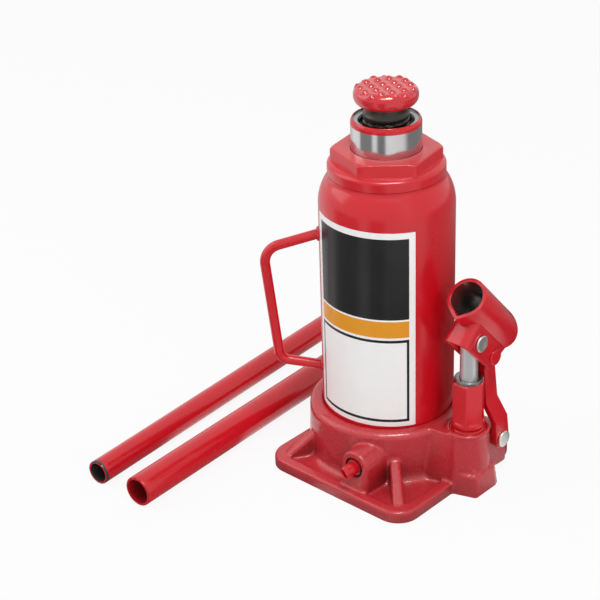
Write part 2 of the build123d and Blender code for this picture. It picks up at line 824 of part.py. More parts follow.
def make_saddle():
    """Load saddle: a thick round pad with rolled edges, a spigot and a square field of raised bumps."""
    top = saddle_bottom + saddle_height
    bow = saddle_edge * (1 - sqrt(0.5))
    bottom = saddle_bottom + seat
    flat = saddle_radius - saddle_edge
    pad = turned(
        Line((0, bottom), (flat, bottom)),
        ThreePointArc(
            (flat, bottom),
            (saddle_radius - bow, bottom + bow),
            (saddle_radius, bottom + saddle_edge),
        ),
        Line((saddle_radius, bottom + saddle_edge), (saddle_radius, top - saddle_edge)),
        ThreePointArc(
            (saddle_radius, top - saddle_edge),
            (saddle_radius - bow, top - bow),
            (flat, top),
        ),
        Line((flat, top), (0, top)),
        Line((0, top), (0, bottom)),
    )
    pad += rod(saddle_spigot_radius, saddle_bottom - saddle_spigot_depth, saddle_bottom + overcut)
    bump = extrude(RegularPolygon(bump_radius, bump_sides), bump_height + bump_root, taper=bump_draft)
    bump = Pos(0, 0, top - bump_root) * bump
    turn = radians(bump_turn)
    rows = int(2 * saddle_radius / bump_pitch)
    bumps = []
    for row in range(-rows, rows + 1):
        for column in range(-rows, rows + 1):
            x = -bump_shift_x + bump_pitch * (row * cos(turn) - column * sin(turn))
            y = -bump_shift_y + bump_pitch * (row * sin(turn) + column * cos(turn))
            if hypot(x, y) < bump_field_radius:
                over_edge = max(0, hypot(x, y) - flat)
                sink = saddle_edge - sqrt(saddle_edge**2 - over_edge**2)
                bumps.append(Pos(x, y, -sink) * bump)
    return pad + bumps


def make_pump_cylinder():
    """Hexagonal pump cylinder with a round collar and a shank in the boss, bored for the plunger."""
    hexagon = Pos(0, 0, pump_hex_bottom) * Rot(0, 0, pump_hex_turn) * extrude(
        RegularPolygon(pump_hex_across / 2, 6, major_radius=False), pump_hex_top - pump_hex_bottom
    )
    hexagon = chamfer(hexagon.faces().sort_by(Axis.Z)[-1].edges(), pump_hex_bevel)
    body = hexagon + rod(pump_collar_radius, pump_body_bottom, pump_hex_bottom)
    body += rod(pump_shank_radius, pump_shank_bottom, pump_body_bottom)
    body -= rod(plunger_bore, pump_shank_bottom - overcut, pump_hex_top + overcut)
    return Pos(pump_x, 0, 0) * body


def make_gland():
    """Bare steel gland ring on top of the pump cylinder."""
    bottom = pump_hex_top + seat
    top = bottom + gland_height
    return Pos(pump_x, 0, 0) * lathe(
        (plunger_bore + gland_bevel, bottom),
        (gland_radius, bottom),
        (gland_radius, top - gland_bevel),
        (gland_radius - gland_bevel, top),
        (plunger_bore + gland_bevel, top),
        (plunger_bore, top - gland_bevel),
        (plunger_bore, bottom + gland_bevel),
    )


def make_plunger():
    """Polished plunger: a round bar with a cross hole near its rounded top and a seal spigot below."""
    top = plunger_pin_z + plunger_eye_top
    shaft_bottom = plunger_bottom + plunger_cup_height
    shaft = rod(plunger_radius, shaft_bottom, top)
    shaft = fillet(shaft.faces().sort_by(Axis.Z)[-1].edges(), plunger_top_round)
    shaft += rod(plunger_spigot_radius, plunger_bottom, shaft_bottom + overcut)
    hole = cross_rod(plunger_pin_radius + seat, -2 * plunger_radius, 2 * plunger_radius, 0, plunger_pin_z)
    return Pos(pump_x, 0, 0) * (shaft - hole)


def make_plunger_cup():
    """Rubber cup on the plunger's spigot."""
    top = plunger_bottom + plunger_cup_height - seat
    return Pos(pump_x, 0, 0) * ring(plunger_radius, plunger_spigot_radius + seat, plunger_bottom, top)


def make_pin(radius, head_at, y, z):
    """Cross pin along X, with a round head at the outer side and a clip groove near its far end."""
    pin = cross_rod(radius, -head_at - clip_height - pin_tail, head_at + pin_head_height / 2, y, z)
    head = cross_rod(pin_head_radius, head_at, head_at + pin_head_height, y, z)
    pin += chamfer(head.faces().sort_by(Axis.X)[-1].edges(), pin_head_bevel)
    groove = cross_rod(2 * radius, -head_at - clip_height, -head_at, y, z)
    groove -= cross_rod(radius - clip_groove_depth, -head_at - clip_height, -head_at, y, z)
    return Pos(pump_x, 0, 0) * (pin - groove)


def make_clip(radius, head_at, y, z):
    """Open retaining clip that snaps into a pin's groove."""
    start = -head_at - clip_height + seat
    clip = cross_rod(clip_radius, start, -head_at - seat, y, z)
    core = radius - clip_groove_depth + seat
    clip -= cross_rod(core, start - overcut, 0, y, z)
    mouth_width = 2 * core * clip_mouth_share
    mouth = Pos(start, y, z - clip_radius) * Box(4 * clip_height, mouth_width, 2 * clip_radius)
    return Pos(pump_x, 0, 0) * (clip - mouth)


def socket_place():
    """The socket's own frame on the plunger pin: Z runs back along the tube, Y down to the cheeks."""
    tilt = radians(socket_tilt)
    back = Vector(0, cos(tilt), -sin(tilt))
    return Plane(origin=(pump_x, 0, plunger_pin_z), x_dir=(1, 0, 0), z_dir=back)


def link_top_in_socket():
    """The links' top pin in the socket's frame, as the run along the tube and the drop below the pin."""
    tilt = radians(socket_tilt)
    run = link_top_y * cos(tilt) - (link_top_z - plunger_pin_z) * sin(tilt)
    drop = -link_top_y * sin(tilt) - (link_top_z - plunger_pin_z) * cos(tilt)
    return run, drop


def vee_outline(radius, depth):
    """A circle drawn out to a point below it, as a face about the origin with the point on +Y."""
    touch = asin(radius / depth)
    point = Polyline(
        (0, depth),
        (radius * cos(touch), radius * sin(touch)),
        (-radius * cos(touch), radius * sin(touch)),
        close=True,
    )
    return Circle(radius) + make_face(point)


def make_socket():
    """Handle socket: a tube pinched to a vee below, which opens into two cheeks joined by a nose wall."""
    run, drop = link_top_in_socket()
    axis = -socket_axis_above_pin
    mouth = -socket_mouth_to_pin
    rear = socket_rear_bulge + overcut
    tube = Pos(0, axis, mouth) * extrude(vee_outline(socket_outer, socket_vee_depth), rear - mouth)
    cheek_depth = socket_cheek_drop - axis
    cheek_length = socket_nose_to_pin + rear
    cheeks = Pos(0, axis + cheek_depth / 2, rear - cheek_length / 2) * Box(
        2 * cheek_outer, cheek_depth, cheek_length
    )
    cheeks = fillet(cheeks.edges().filter_by(Axis.Y).sort_by(Axis.Z)[:2], socket_nose_round)
    body = (tube + cheeks) & stroke_slab(socket_side(run, drop), -2 * socket_outer, 2 * socket_outer)
    bore = vee_outline(socket_bore_radius, socket_vee_depth - socket_wall)
    body -= Pos(0, axis, mouth - overcut) * extrude(bore, rear - mouth + 2 * overcut)
    slot_depth = socket_cheek_drop + socket_slot_above_pin + overcut
    slot_length = cheek_length - socket_nose_wall + overcut
    body -= Pos(0, slot_depth / 2 - socket_slot_above_pin, rear + overcut - slot_length / 2) * Box(
        2 * cheek_inner, slot_depth, slot_length
    )
    body -= cross_rod(plunger_pin_radius + running, -2 * cheek_outer, 2 * cheek_outer, 0, 0)
    body -= cross_rod(link_top_pin_radius + seat, -2 * cheek_outer, 2 * cheek_outer, drop, run)
    return socket_place().location * body


def socket_side(run, drop):
    """The socket's outline seen along its pins, drawn as (drop, run) from the plunger pin."""
    top = -socket_axis_above_pin - socket_outer - overcut
    mouth = -socket_mouth_to_pin
    vee = socket_vee_depth - socket_axis_above_pin
    ear_turn = radians(socket_ear_turn)
    ear_start = (drop - socket_ear_radius * sin(ear_turn), run + socket_ear_radius * cos(ear_turn))
    ear_end = (drop, run + socket_ear_radius)
    ear_middle = (
        drop - socket_ear_radius * sin(ear_turn / 2),
        run + socket_ear_radius * cos(ear_turn / 2),
    )
    tip = (socket_tip_drop, socket_tip_run)
    nose = (socket_cheek_drop, -socket_nose_to_pin)
    edges = [
        Line((top, mouth), (top, socket_straight_rear)),
        ThreePointArc((top, socket_straight_rear), (-socket_bulge_above_pin, socket_rear_bulge), ear_start),
        ThreePointArc(ear_start, ear_middle, ear_end),
        Line(ear_end, tip),
        Line(tip, nose),
        Line(nose, (vee, -socket_nose_to_pin)),
        Line((vee, -socket_nose_to_pin), (vee, mouth)),
        Line((vee, mouth), (top, mouth)),
    ]
    return make_face(Curve() + edges)


def link_place():
    """The links' own frame on the lower pin: Z runs up the link and X stays across the pump."""
    up = Vector(0, link_top_y - link_foot_y, link_top_z - link_foot_z).normalized()
    return Plane(origin=(pump_x, link_foot_y, link_foot_z), x_dir=(1, 0, 0), z_dir=up)


def link_outline(length):
    """One link's face, drawn as (Y, Z) from its lower pin: a tapered bar with a round foot and an eye."""
    lean = asin((link_foot_half - link_top_half) / length)
    foot_y = link_foot_half * cos(lean)
    foot_z = link_foot_half * sin(lean)
    top_y = link_top_half * cos(lean)
    top_z = length + link_top_half * sin(lean)
    shank = Polyline((-foot_y, foot_z), (-top_y, top_z), (top_y, top_z), (foot_y, foot_z), close=True)
    return make_face(shank) + Circle(link_foot_half) + Pos(0, length) * Circle(link_eye_radius)


def make_link(side):
    """One flat link, joggled so that its foot clears the lug and its head fits between the cheeks."""
    length = hypot(link_top_y - link_foot_y, link_top_z - link_foot_z)
    end = link_foot_half + link_eye_radius
    step = link_thickness / 4
    strip = Polyline(
        (link_lower_inner, -end),
        (link_lower_outer, -end),
        (link_lower_outer, link_bend_low),
        (link_upper_outer, link_bend_high),
        (link_upper_outer, length + end),
        (link_upper_half_gap, length + end),
        (link_upper_half_gap, link_bend_high - step),
        (link_lower_inner, link_bend_low - step),
        close=True,
    )
    across = 2 * link_lower_outer
    link = extrude(Plane.XZ * make_face(strip), end, both=True)
    link &= stroke_slab(link_outline(length), 0, across)
    link -= cross_rod(lug_pin_radius + running, 0, across, 0, 0)
    link -= cross_rod(link_top_pin_radius + link_top_pin_slack, 0, across, 0, length)
    if side < 0:
        link = mirror(link, about=Plane.YZ)
    return link_place().location * link


def make_release_stem():
    """Release valve stem with a notched outer end and a groove for its rubber ring."""
    tip = valve_boss_face + valve_stem_out
    stem = depth_rod(valve_stem_radius, -tip, -valve_stem_root, 0, 0)
    stem = chamfer(stem.faces().sort_by(Axis.Y)[0].edges(), valve_stem_bevel)
    notch = Pos(0, -tip, 0) * Rot(0, valve_notch_turn, 0) * Box(
        3 * valve_stem_radius, 2 * valve_notch_depth, valve_notch_width
    )
    groove_end = -valve_boss_face + valve_ring_inset
    groove = depth_rod(2 * valve_stem_radius, groove_end - valve_ring_wire, groove_end, 0, 0)
    groove -= depth_rod(valve_stem_radius - valve_ring_wire, groove_end - valve_ring_wire, groove_end, 0, 0)
    return Pos(valve_x, 0, valve_z) * (stem - notch - groove)


def make_valve_ring():
    """Rubber ring in the release stem's groove."""
    end = -valve_boss_face + valve_ring_inset - seat
    start = end - valve_ring_wire + 2 * seat
    core = valve_stem_radius - valve_ring_wire + seat
    solid = depth_rod(valve_stem_radius, start, end, valve_x, valve_z)
    return solid - depth_rod(core, start - overcut, end + overcut, valve_x, valve_z)


def make_carry_handle():
    """Bent carry rod whose two legs are welded to the tank's wall."""
    inside = tank_radius - tank_wall
    top_slope = (carry_top_corner_z - carry_top_z) / carry_top_reach
    bottom_slope = (carry_bottom_corner_z - carry_bottom_z) / carry_bottom_reach
    path = FilletPolyline(
        (inside, carry_top_z - top_slope * tank_wall),
        (tank_radius + carry_top_reach, carry_top_corner_z),
        (tank_radius + carry_bottom_reach, carry_bottom_corner_z),
        (inside, carry_bottom_z - bottom_slope * tank_wall),
        radius=[carry_top_bend, carry_bottom_bend],
    )
    path = Plane.XZ * path
    section = Plane(origin=path @ 0, z_dir=path % 0) * Circle(carry_rod_radius)
    handle = sweep(section, path=path)
    for z in (carry_top_z, carry_bottom_z):
        weld = extrude(Circle(carry_weld_radius), carry_weld_length, taper=carry_weld_draft)
        handle += Pos(tank_radius - overcut, 0, z) * Rot(0, 90, 0) * weld
    handle -= rod(tank_radius + seat, 0, tank_top)
    return Rot(0, 0, carry_turn) * handle


def make_tube(radius, wall, beside, turn):
    """One straight pump handle tube lying on the ground, near end first."""
    tube = extrude(Circle(radius) - Circle(radius - wall), tube_length)
    return tube_place(radius, beside, turn) * tube


def tube_place(radius, beside, turn):
    """A frame at a tube's near end, with Z along the tube and the tube touching the ground."""
    return Pos(-beside, -tube_near, radius) * Rot(0, 0, turn) * Rot(-90, 0, 0)


def make_slim_tube():
    """Slim tube, with a slot across its far end that turns the release valve."""
    slot = tube_place(slim_tube_radius, slim_tube_beside, slim_tube_turn) * Pos(0, 0, tube_length) * Box(
        3 * slim_tube_radius, slim_notch_width, 2 * slim_notch_depth
    )
    return make_tube(slim_tube_radius, slim_tube_wall, slim_tube_beside, slim_tube_turn) - slot


def make_relief():
    """Relief valve behind the collar: ball, spring and the set screw that holds them."""
    place = Pos(relief_x, relief_seat_y(), relief_z) * Rot(-90, 0, 0)
    spring_start = 2 * relief_ball_radius + relief_spring_wire + seat
    screw_start = 2 * relief_ball_radius + relief_spring_length() + 2 * seat
    screw_end = screw_start + relief_screw_length
    ball = Pos(0, 0, relief_ball_radius) * Sphere(relief_ball_radius)
    spring = helix_tube(
        relief_spring_radius, relief_spring_wire, relief_spring_pitch, relief_spring_turns, spring_start
    )
    screw = rod(relief_bore_radius - seat, screw_start, screw_end)
    screw -= Pos(0, 0, screw_end - relief_key_depth) * extrude(
        RegularPolygon(relief_key_across / 2, 6, major_radius=False), relief_key_depth + overcut
    )
    return place * ball, place * spring, place * screw


def make_inlet():
    """Inlet check valve under the pump: ball and spring."""
    ball_z = inlet_ball_z()
    ball = Pos(pump_x, 0, ball_z) * Sphere(check_ball_radius - seat)
    spring_start = ball_z + check_ball_radius + relief_spring_wire
    spring = Pos(pump_x, 0, 0) * helix_tube(
        relief_spring_radius, relief_spring_wire, inlet_spring_pitch, inlet_spring_turns, spring_start
    )
    return ball, spring


os.makedirs("parts", exist_ok=True)

write("base_casting", make_base())
write("reservoir_tank", make_tank())
tank_gasket_inner = tank_radius - tank_wall
tank_gasket = ring(tank_radius, tank_gasket_inner, tank_seat_z + seat, tank_bottom - seat)
write("tank_bottom_gasket", tank_gasket)
neck_inner_radius = tank_neck_radius - tank_neck_wall
neck_seal = ring(tank_neck_radius, neck_inner_radius, tank_top + seat, nut_bottom - seat)
write("tank_top_seal", neck_seal)
write("pressure_cylinder", make_cylinder())
foot_washer = ring(cylinder_radius, cylinder_bore_radius, cylinder_floor + seat, cylinder_bottom - seat)
write("cylinder_washer", foot_washer)
write("cap_nut", make_cap_nut())
write("ram_wiper", make_wiper())
write("carry_handle", make_carry_handle())
write("ram", make_ram())
write("piston_cup", make_piston_cup())
cup_washer_bore = piston_screw_radius + seat
cup_washer = ring(piston_washer_radius, cup_washer_bore, piston_washer_bottom, piston_cup_bottom - seat)
write("piston_washer", cup_washer)
write("piston_screw", make_piston_screw())
write("extension_screw", make_screw())
write("screw_stop_ring", make_stop_ring())
write("saddle", make_saddle())
write("pump_cylinder", make_pump_cylinder())
pump_gasket_bore = pump_shank_radius + seat
pump_gasket = ring(pump_collar_radius, pump_gasket_bore, pump_seat_z + seat, pump_body_bottom - seat)
write("pump_gasket", Pos(pump_x, 0, 0) * pump_gasket)
write("pump_gland_ring", make_gland())
write("pump_plunger", make_plunger())
write("plunger_cup", make_plunger_cup())
cheek_head = cheek_outer + body_gap
top_pin_head = cheek_outer + seat
link_head = link_lower_outer + body_gap
write("plunger_pin", make_pin(plunger_pin_radius, cheek_head, 0, plunger_pin_z))
write("plunger_pin_clip", make_clip(plunger_pin_radius, cheek_head, 0, plunger_pin_z))
write("handle_socket", make_socket())
write("pump_link_outer", make_link(1))
write("pump_link_inner", make_link(-1))
write("link_top_pin", make_pin(link_top_pin_radius, top_pin_head, link_top_y, link_top_z))
write("link_top_pin_clip", make_clip(link_top_pin_radius, top_pin_head, link_top_y, link_top_z))
write("lug_pin", make_pin(lug_pin_radius, link_head, link_foot_y, link_foot_z))
write("lug_pin_clip", make_clip(lug_pin_radius, link_head, link_foot_y, link_foot_z))
write("release_valve_stem", make_release_stem())
write("release_valve_ring", make_valve_ring())
release_ball_y = -valve_stem_root + valve_ball_radius + seat
write("release_ball", Pos(valve_x, release_ball_y, valve_z) * Sphere(valve_ball_radius))
write("filler_plug", make_filler_plug())
relief_ball, relief_spring, relief_screw = make_relief()
write("relief_ball", relief_ball)
write("relief_spring", relief_spring)
write("relief_screw", relief_screw)
inlet_ball, inlet_spring = make_inlet()
write("inlet_ball", inlet_ball)
write("inlet_spring", inlet_spring)
write("handle_tube_thick", make_tube(thick_tube_radius, thick_tube_wall, thick_tube_beside, thick_tube_turn))
write("handle_tube_slim", make_slim_tube())
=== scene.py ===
"""Looks of a red hydraulic bottle jack and its two handle tubes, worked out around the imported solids."""

import json
import math
from contextlib import contextmanager

import bmesh
import bpy
import numpy as np
from bpy.props import FloatProperty, FloatVectorProperty, PointerProperty
from mathutils import Matrix, Vector


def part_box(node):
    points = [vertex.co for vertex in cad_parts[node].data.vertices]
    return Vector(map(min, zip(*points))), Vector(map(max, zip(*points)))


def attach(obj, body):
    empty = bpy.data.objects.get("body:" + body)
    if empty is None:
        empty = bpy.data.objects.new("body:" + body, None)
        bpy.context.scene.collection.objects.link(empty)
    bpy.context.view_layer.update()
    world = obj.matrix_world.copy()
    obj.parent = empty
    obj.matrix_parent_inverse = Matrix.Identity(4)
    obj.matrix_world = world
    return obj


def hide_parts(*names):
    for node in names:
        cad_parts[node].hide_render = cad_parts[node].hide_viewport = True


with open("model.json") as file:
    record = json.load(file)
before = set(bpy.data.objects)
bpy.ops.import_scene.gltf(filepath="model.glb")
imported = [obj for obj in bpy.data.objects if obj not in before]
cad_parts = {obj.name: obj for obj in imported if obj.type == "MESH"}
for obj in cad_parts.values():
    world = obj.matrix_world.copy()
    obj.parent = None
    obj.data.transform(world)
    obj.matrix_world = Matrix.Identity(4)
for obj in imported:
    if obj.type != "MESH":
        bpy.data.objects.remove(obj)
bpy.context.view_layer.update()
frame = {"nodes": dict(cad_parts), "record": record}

bl_info = {
    "name": "Bottle Jack Looks",
    "version": (1, 0, 0),
    "blender": (4, 5, 0),
    "location": "View3D > Sidebar > Bottle Jack",
    "description": "Builds the painted, machined and cast surfaces of a hydraulic bottle jack",
    "category": "Object",
}

MM = 0.001
TURN = 2 * np.pi
UP = np.array([0.0, 0.0, 1.0])
WHITE = (1.0, 1.0, 1.0, 1.0)

# Angles in degrees above which an edge is shown sharp: on machined pieces, on the casting and nowhere
CREASE, CAST_CREASE, NO_CREASE = 38.0, 60.0, 180.0

# Places in millimetres and degrees that more than one piece uses
TANK_RADIUS = 45.0
FILLER_BEARING, FILLER_HEIGHT = 100.0, 160.0
VALVE_SETBACK = 2.6
BELOW_GROUND = -3.0


def span(node):
    """Lowest and highest corner of a solid, in millimetres."""
    low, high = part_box(node)
    return np.array(low) / MM, np.array(high) / MM


def colour(label, note, value):
    """A colour that the user may change, in linear light."""
    return FloatVectorProperty(
        name=label, description=note, default=value, size=3, min=0.0, max=1.0, subtype="COLOR"
    )


def length(label, note, value):
    """A length that the user may change. The default is given in millimetres."""
    return FloatProperty(name=label, description=note, default=value * MM, unit="LENGTH", precision=4)


def power(label, note, value):
    """A lamp's power that the user may change."""
    return FloatProperty(name=label, description=note, default=value, min=0.0, unit="POWER")


class JackFinish(bpy.types.PropertyGroup):
    """Colours of the paint, metals, rubber and label."""

    enamel: colour("Enamel", "Red enamel on tank, nut, saddle, pump and tubes", (0.655, 0.006, 0.017))
    enamel_deep: colour("Enamel deep", "Darker red where the enamel is thicker", (0.600, 0.004, 0.011))
    cast_enamel: colour("Cast enamel", "Red enamel over the base casting", (0.600, 0.012, 0.024))
    cast_deep: colour("Cast enamel deep", "Darker red in the casting's pits", (0.450, 0.006, 0.012))
    steel: colour("Ground steel", "Ram, plunger and gland", (0.640, 0.630, 0.630))
    black_steel: colour("Black steel", "Oiled extension screw and clips", (0.030, 0.029, 0.028))
    zinc: colour("Zinc", "Plated pivot pins", (0.720, 0.740, 0.745))
    rubber: colour("Rubber", "Seals and filler plug", (0.018, 0.018, 0.019))
    copper: colour("Copper", "Soft washers", (0.640, 0.290, 0.160))
    bare_tube: colour("Bare tube", "Unpainted inside and cut end of the tubes", (0.075, 0.068, 0.064))
    label_white: colour("Label white", "Border and lower panel of the label", (0.975, 0.975, 0.970))
    label_dark: colour("Label dark", "Upper panel of the label", (0.012, 0.012, 0.013))
    label_stripe: colour("Label stripe", "Stripe across the label", (0.830, 0.330, 0.012))


class JackSizes(bpy.types.PropertyGroup):
    """Sizes of the details that the solids leave plain."""

    thread_pitch: length("Thread pitch", "Rise of the extension screw in one turn", 4.0)
    thread_depth: length("Thread depth", "Crest to root of the extension screw", 1.7)
    bump_height: length("Bump height", "Rise of the domes on the saddle", 1.65)
    cast_cell: length("Casting cell", "Cell of the base casting's softened surface", 0.95)
    fitting_ease: length("Eased edge", "Rounding of the cut edges of links and socket", 0.5)
    weld_bead: length("Weld bead", "Thickness of the carry handle's weld beads", 1.7)
    label_sheet: length("Label sheet", "Thickness of the label", 0.12)
    ram_paint: length("Ram paint", "Width of the painted band at the ram's mouth", 4.1)


class JackStage(bpy.types.PropertyGroup):
    """Camera and light."""

    camera_place: FloatVectorProperty(
        name="Camera place",
        description="Where the camera stands",
        default=(0.63699, -0.75638, 0.63731),
        size=3,
        subtype="TRANSLATION",
        unit="LENGTH",
    )
    lens: FloatProperty(name="Lens", description="Focal length in millimetres", default=99.69, min=1.0)
    key_power: power("Key", "Large soft lamp", 8.5)
    front_power: power("Front", "Small lamp high in front", 8.5)
    fill_power: power("Fill", "Weak lamp", 5.0)
    glint_power: power("Glint", "Panel for mirrors only", 13.0)
    sky: FloatProperty(name="Sky", description="Level of the even light all round", default=0.5, min=0.0)


# Mesh making


@contextmanager
def edited(mesh):
    """Open a mesh for editing and put the result back into it."""
    work = bmesh.new()
    work.from_mesh(mesh)
    yield work
    work.to_mesh(mesh)
    work.free()


def points_of(mesh):
    """Points of a mesh as an (n, xyz) array in millimetres."""
    flat = np.empty(len(mesh.vertices) * 3)
    mesh.vertices.foreach_get("co", flat)
    return flat.reshape(-1, 3) / MM


def move_points(mesh, points):
    """Put the points of a mesh at places in millimetres."""
    mesh.vertices.foreach_set("co", (points * MM).astype(np.float32).reshape(-1))


def grid_object(name, points, closed_rows=False, closed_columns=True, marks=None, sheet=None):
    """Mesh of the quads between neighbouring points of a (rows, columns, xyz) grid in millimetres.

    The UV of a corner is (share of the way round, mark of its row in metres), or the sheet's own
    (rows, columns, 2) coordinates in metres.
    """
    rows, columns = points.shape[:2]
    row, column = np.meshgrid(
        np.arange(rows if closed_rows else rows - 1),
        np.arange(columns if closed_columns else columns - 1),
        indexing="ij",
    )
    corner_rows = np.stack([row, row, row + 1, row + 1], axis=-1).reshape(-1)
    corner_columns = np.stack([column, column + 1, column + 1, column], axis=-1).reshape(-1)
    index = (corner_rows % rows) * columns + corner_columns % columns
    mesh = bpy.data.meshes.new(name)
    mesh.vertices.add(rows * columns)
    move_points(mesh, points)
    mesh.loops.add(index.size)
    mesh.loops.foreach_set("vertex_index", index.astype(np.int32))
    mesh.polygons.add(index.size // 4)
    mesh.polygons.foreach_set("loop_start", np.arange(0, index.size, 4, dtype=np.int32))
    if sheet is None:
        marks = np.arange(rows) * MM if marks is None else np.asarray(marks) * MM
        marks = np.append(marks, marks[-1])
        corners = np.stack([corner_columns / columns, marks[corner_rows]], axis=-1)
    else:
        corners = sheet.reshape(-1, 2)[index] * MM
    layer = mesh.uv_layers.new(name="UVMap")
    layer.data.foreach_set("uv", corners.astype(np.float32).reshape(-1))
    mesh.update(calc_edges=True)
    weld(mesh)
    return shown(name, mesh)


def weld(mesh, reach=1e-6):
    """Merge points that lie on each other, which closes seams and poles, and face all quads outwards."""
    with edited(mesh) as work:
        bmesh.ops.remove_doubles(work, verts=work.verts, dist=reach)
        bmesh.ops.recalc_face_normals(work, faces=work.faces)


def smooth(mesh, crease):
    """Smooth shading with sharp edges above an angle in degrees."""
    mesh.polygons.foreach_set("use_smooth", np.ones(len(mesh.polygons), dtype=bool))
    mesh.set_sharp_from_angle(angle=math.radians(crease))


def shown(name, mesh, crease=CREASE):
    """Object in the scene with smooth faces that stay sharp at edges above the crease angle."""
    piece = bpy.data.objects.new(name, mesh)
    bpy.context.scene.collection.objects.link(piece)
    smooth(mesh, crease)
    return piece


def discard(piece):
    """Delete a helper object together with its mesh."""
    mesh = piece.data
    bpy.data.objects.remove(piece)
    bpy.data.meshes.remove(mesh)


def bake_modifiers(piece, crease=CREASE):
    """Put the result of a piece's modifiers into its mesh."""
    result = bpy.data.meshes.new_from_object(piece.evaluated_get(bpy.context.evaluated_depsgraph_get()))
    old = piece.data
    piece.modifiers.clear()
    piece.data = result
    result.name = piece.name
    bpy.data.meshes.remove(old)
    smooth(result, crease)


def cut_away(piece, cutter, solver="EXACT", crease=CREASE):
    """Take one closed shape out of a piece."""
    modifier = piece.modifiers.new("cut", "BOOLEAN")
    modifier.operation = "DIFFERENCE"
    modifier.solver = solver
    modifier.object = cutter
    bake_modifiers(piece, crease)
    discard(cutter)


def solid_copy(node, name, reshape=None):
    """Copy of a solid's mesh with its loose triangles merged and, if asked, its points moved."""
    mesh = frame["nodes"][node].data.copy()
    mesh.name = name
    mesh.materials.clear()
    weld(mesh, 2e-6)
    if reshape:
        move_points(mesh, reshape(points_of(mesh)))
    return mesh


def cast_copy(node, name, cell, reshape, extras):
    """Copy of a solid remade in even cells and smoothed, so that its edges are soft as sand leaves them.

    The copy is reshaped first, joined with closed extra shapes, carried below the ground and cut off
    there after the smoothing, so that its foot stays crisp.
    """

    def carried_down(points):
        points = reshape(points)
        points[points[:, 2] < 0.01, 2] = BELOW_GROUND
        return points

    mesh = solid_copy(node, name, carried_down)
    with edited(mesh) as work:
        for extra in extras:
            work.from_mesh(extra.data)
            discard(extra)
    piece = shown(name, mesh, NO_CREASE)
    cells = piece.modifiers.new("cells", "REMESH")
    cells.mode = "VOXEL"
    cells.voxel_size = cell
    ease = piece.modifiers.new("ease", "SMOOTH")
    ease.factor = 0.5
    ease.iterations = 3
    bake_modifiers(piece, NO_CREASE)
    with edited(piece.data) as work:
        everything = [*work.verts, *work.edges, *work.faces]
        plane = {"plane_co": (0, 0, 0), "plane_no": (0, 0, -1), "clear_outer": True}
        cut = bmesh.ops.bisect_plane(work, geom=everything, dist=1e-6, **plane)
        rim = [item for item in cut["geom_cut"] if isinstance(item, bmesh.types.BMEdge)]
        bmesh.ops.triangle_fill(work, edges=rim, use_beauty=True)
        bmesh.ops.recalc_face_normals(work, faces=work.faces)
    smooth(piece.data, CAST_CREASE)
    return piece


def eased_copy(node, name, width, reshape=None):
    """Copy of a solid, reshaped if asked, whose flat faces are joined and whose sharp edges are rounded."""
    mesh = solid_copy(node, name, reshape)
    with edited(mesh) as work:
        bmesh.ops.dissolve_limit(work, angle_limit=math.radians(0.6), verts=work.verts, edges=work.edges)
    piece = shown(name, mesh)
    ease = piece.modifiers.new("ease", "BEVEL")
    ease.width = width
    ease.segments = 3
    ease.limit_method = "ANGLE"
    ease.angle_limit = math.radians(32)
    ease.use_clamp_overlap = True
    bake_modifiers(piece)
    return piece


# Shapes


def smoothstep(value):
    """0 below 0, 1 above 1, and t^2 (3 - 2t) between."""
    t = np.clip(value, 0.0, 1.0)
    return t * t * (3 - 2 * t)


def arc(centre, radius, start, end, steps):
    """Points of an arc: centre + radius (cos t, sin t)."""
    t = np.linspace(start, end, steps)
    return np.asarray(centre) + radius * np.stack([np.cos(t), np.sin(t)], axis=-1)


def rounded(corners, steps=7):
    """Closed outline with rounded corners.

    Each (radius, height, rounding) corner C becomes the curve (1-t)^2 A + 2t(1-t) C + t^2 B, where A and B
    lie on its two sides at the rounding's distance.
    """
    corners = np.asarray(corners, float)
    points, reach = corners[:, :2], corners[:, 2]
    before = np.roll(points, 1, axis=0) - points
    after = np.roll(points, -1, axis=0) - points
    before_length = np.linalg.norm(before, axis=1)
    after_length = np.linalg.norm(after, axis=1)
    reach = np.minimum(reach, 0.48 * np.minimum(before_length, after_length))
    start = points + before * (reach / before_length)[:, None]
    end = points + after * (reach / after_length)[:, None]
    t = np.linspace(0, 1, steps)[None, :, None]
    curve = (1 - t) ** 2 * start[:, None] + 2 * t * (1 - t) * points[:, None] + t**2 * end[:, None]
    return curve.reshape(-1, 2)


def ring_angles(columns):
    """Even angles once round, without the last one."""
    return np.linspace(0, TURN, columns, endpoint=False)


def ringed(angle, radius, height):
    """Rows of points (r cos a, r sin a, z), where radius and height may differ round the angle."""
    return np.stack([radius * np.cos(angle), radius * np.sin(angle), height + 0 * angle], axis=-1)


def spun(outline, columns):
    """Surface of revolution of an outline of (radius, height) points."""
    outline = np.asarray(outline, float)
    return ringed(ring_angles(columns), outline[:, :1], outline[:, 1:])


def turned(name, corners, columns, axis=0.0, steps=7, hollow=False):
    """Object turned about an upright axis from (radius, height, rounding) corners."""
    return grid_object(name, spun(rounded(corners, steps), columns) + axis, closed_rows=hollow)


def placed(points, origin, across, along):
    """Turn a shape so that its X runs along across and its Z runs along along, then move it to origin."""
    along = np.asarray(along, float) / np.linalg.norm(along)
    across = np.asarray(across, float)
    across = across - along * (across @ along)
    across = across / np.linalg.norm(across)
    basis = np.stack([across, np.cross(along, across), along])
    return points @ basis + np.asarray(origin, float)


def outwards(bearing):
    """Level direction at a bearing in degrees from +X."""
    turn = math.radians(bearing)
    return np.array([math.cos(turn), math.sin(turn), 0.0])


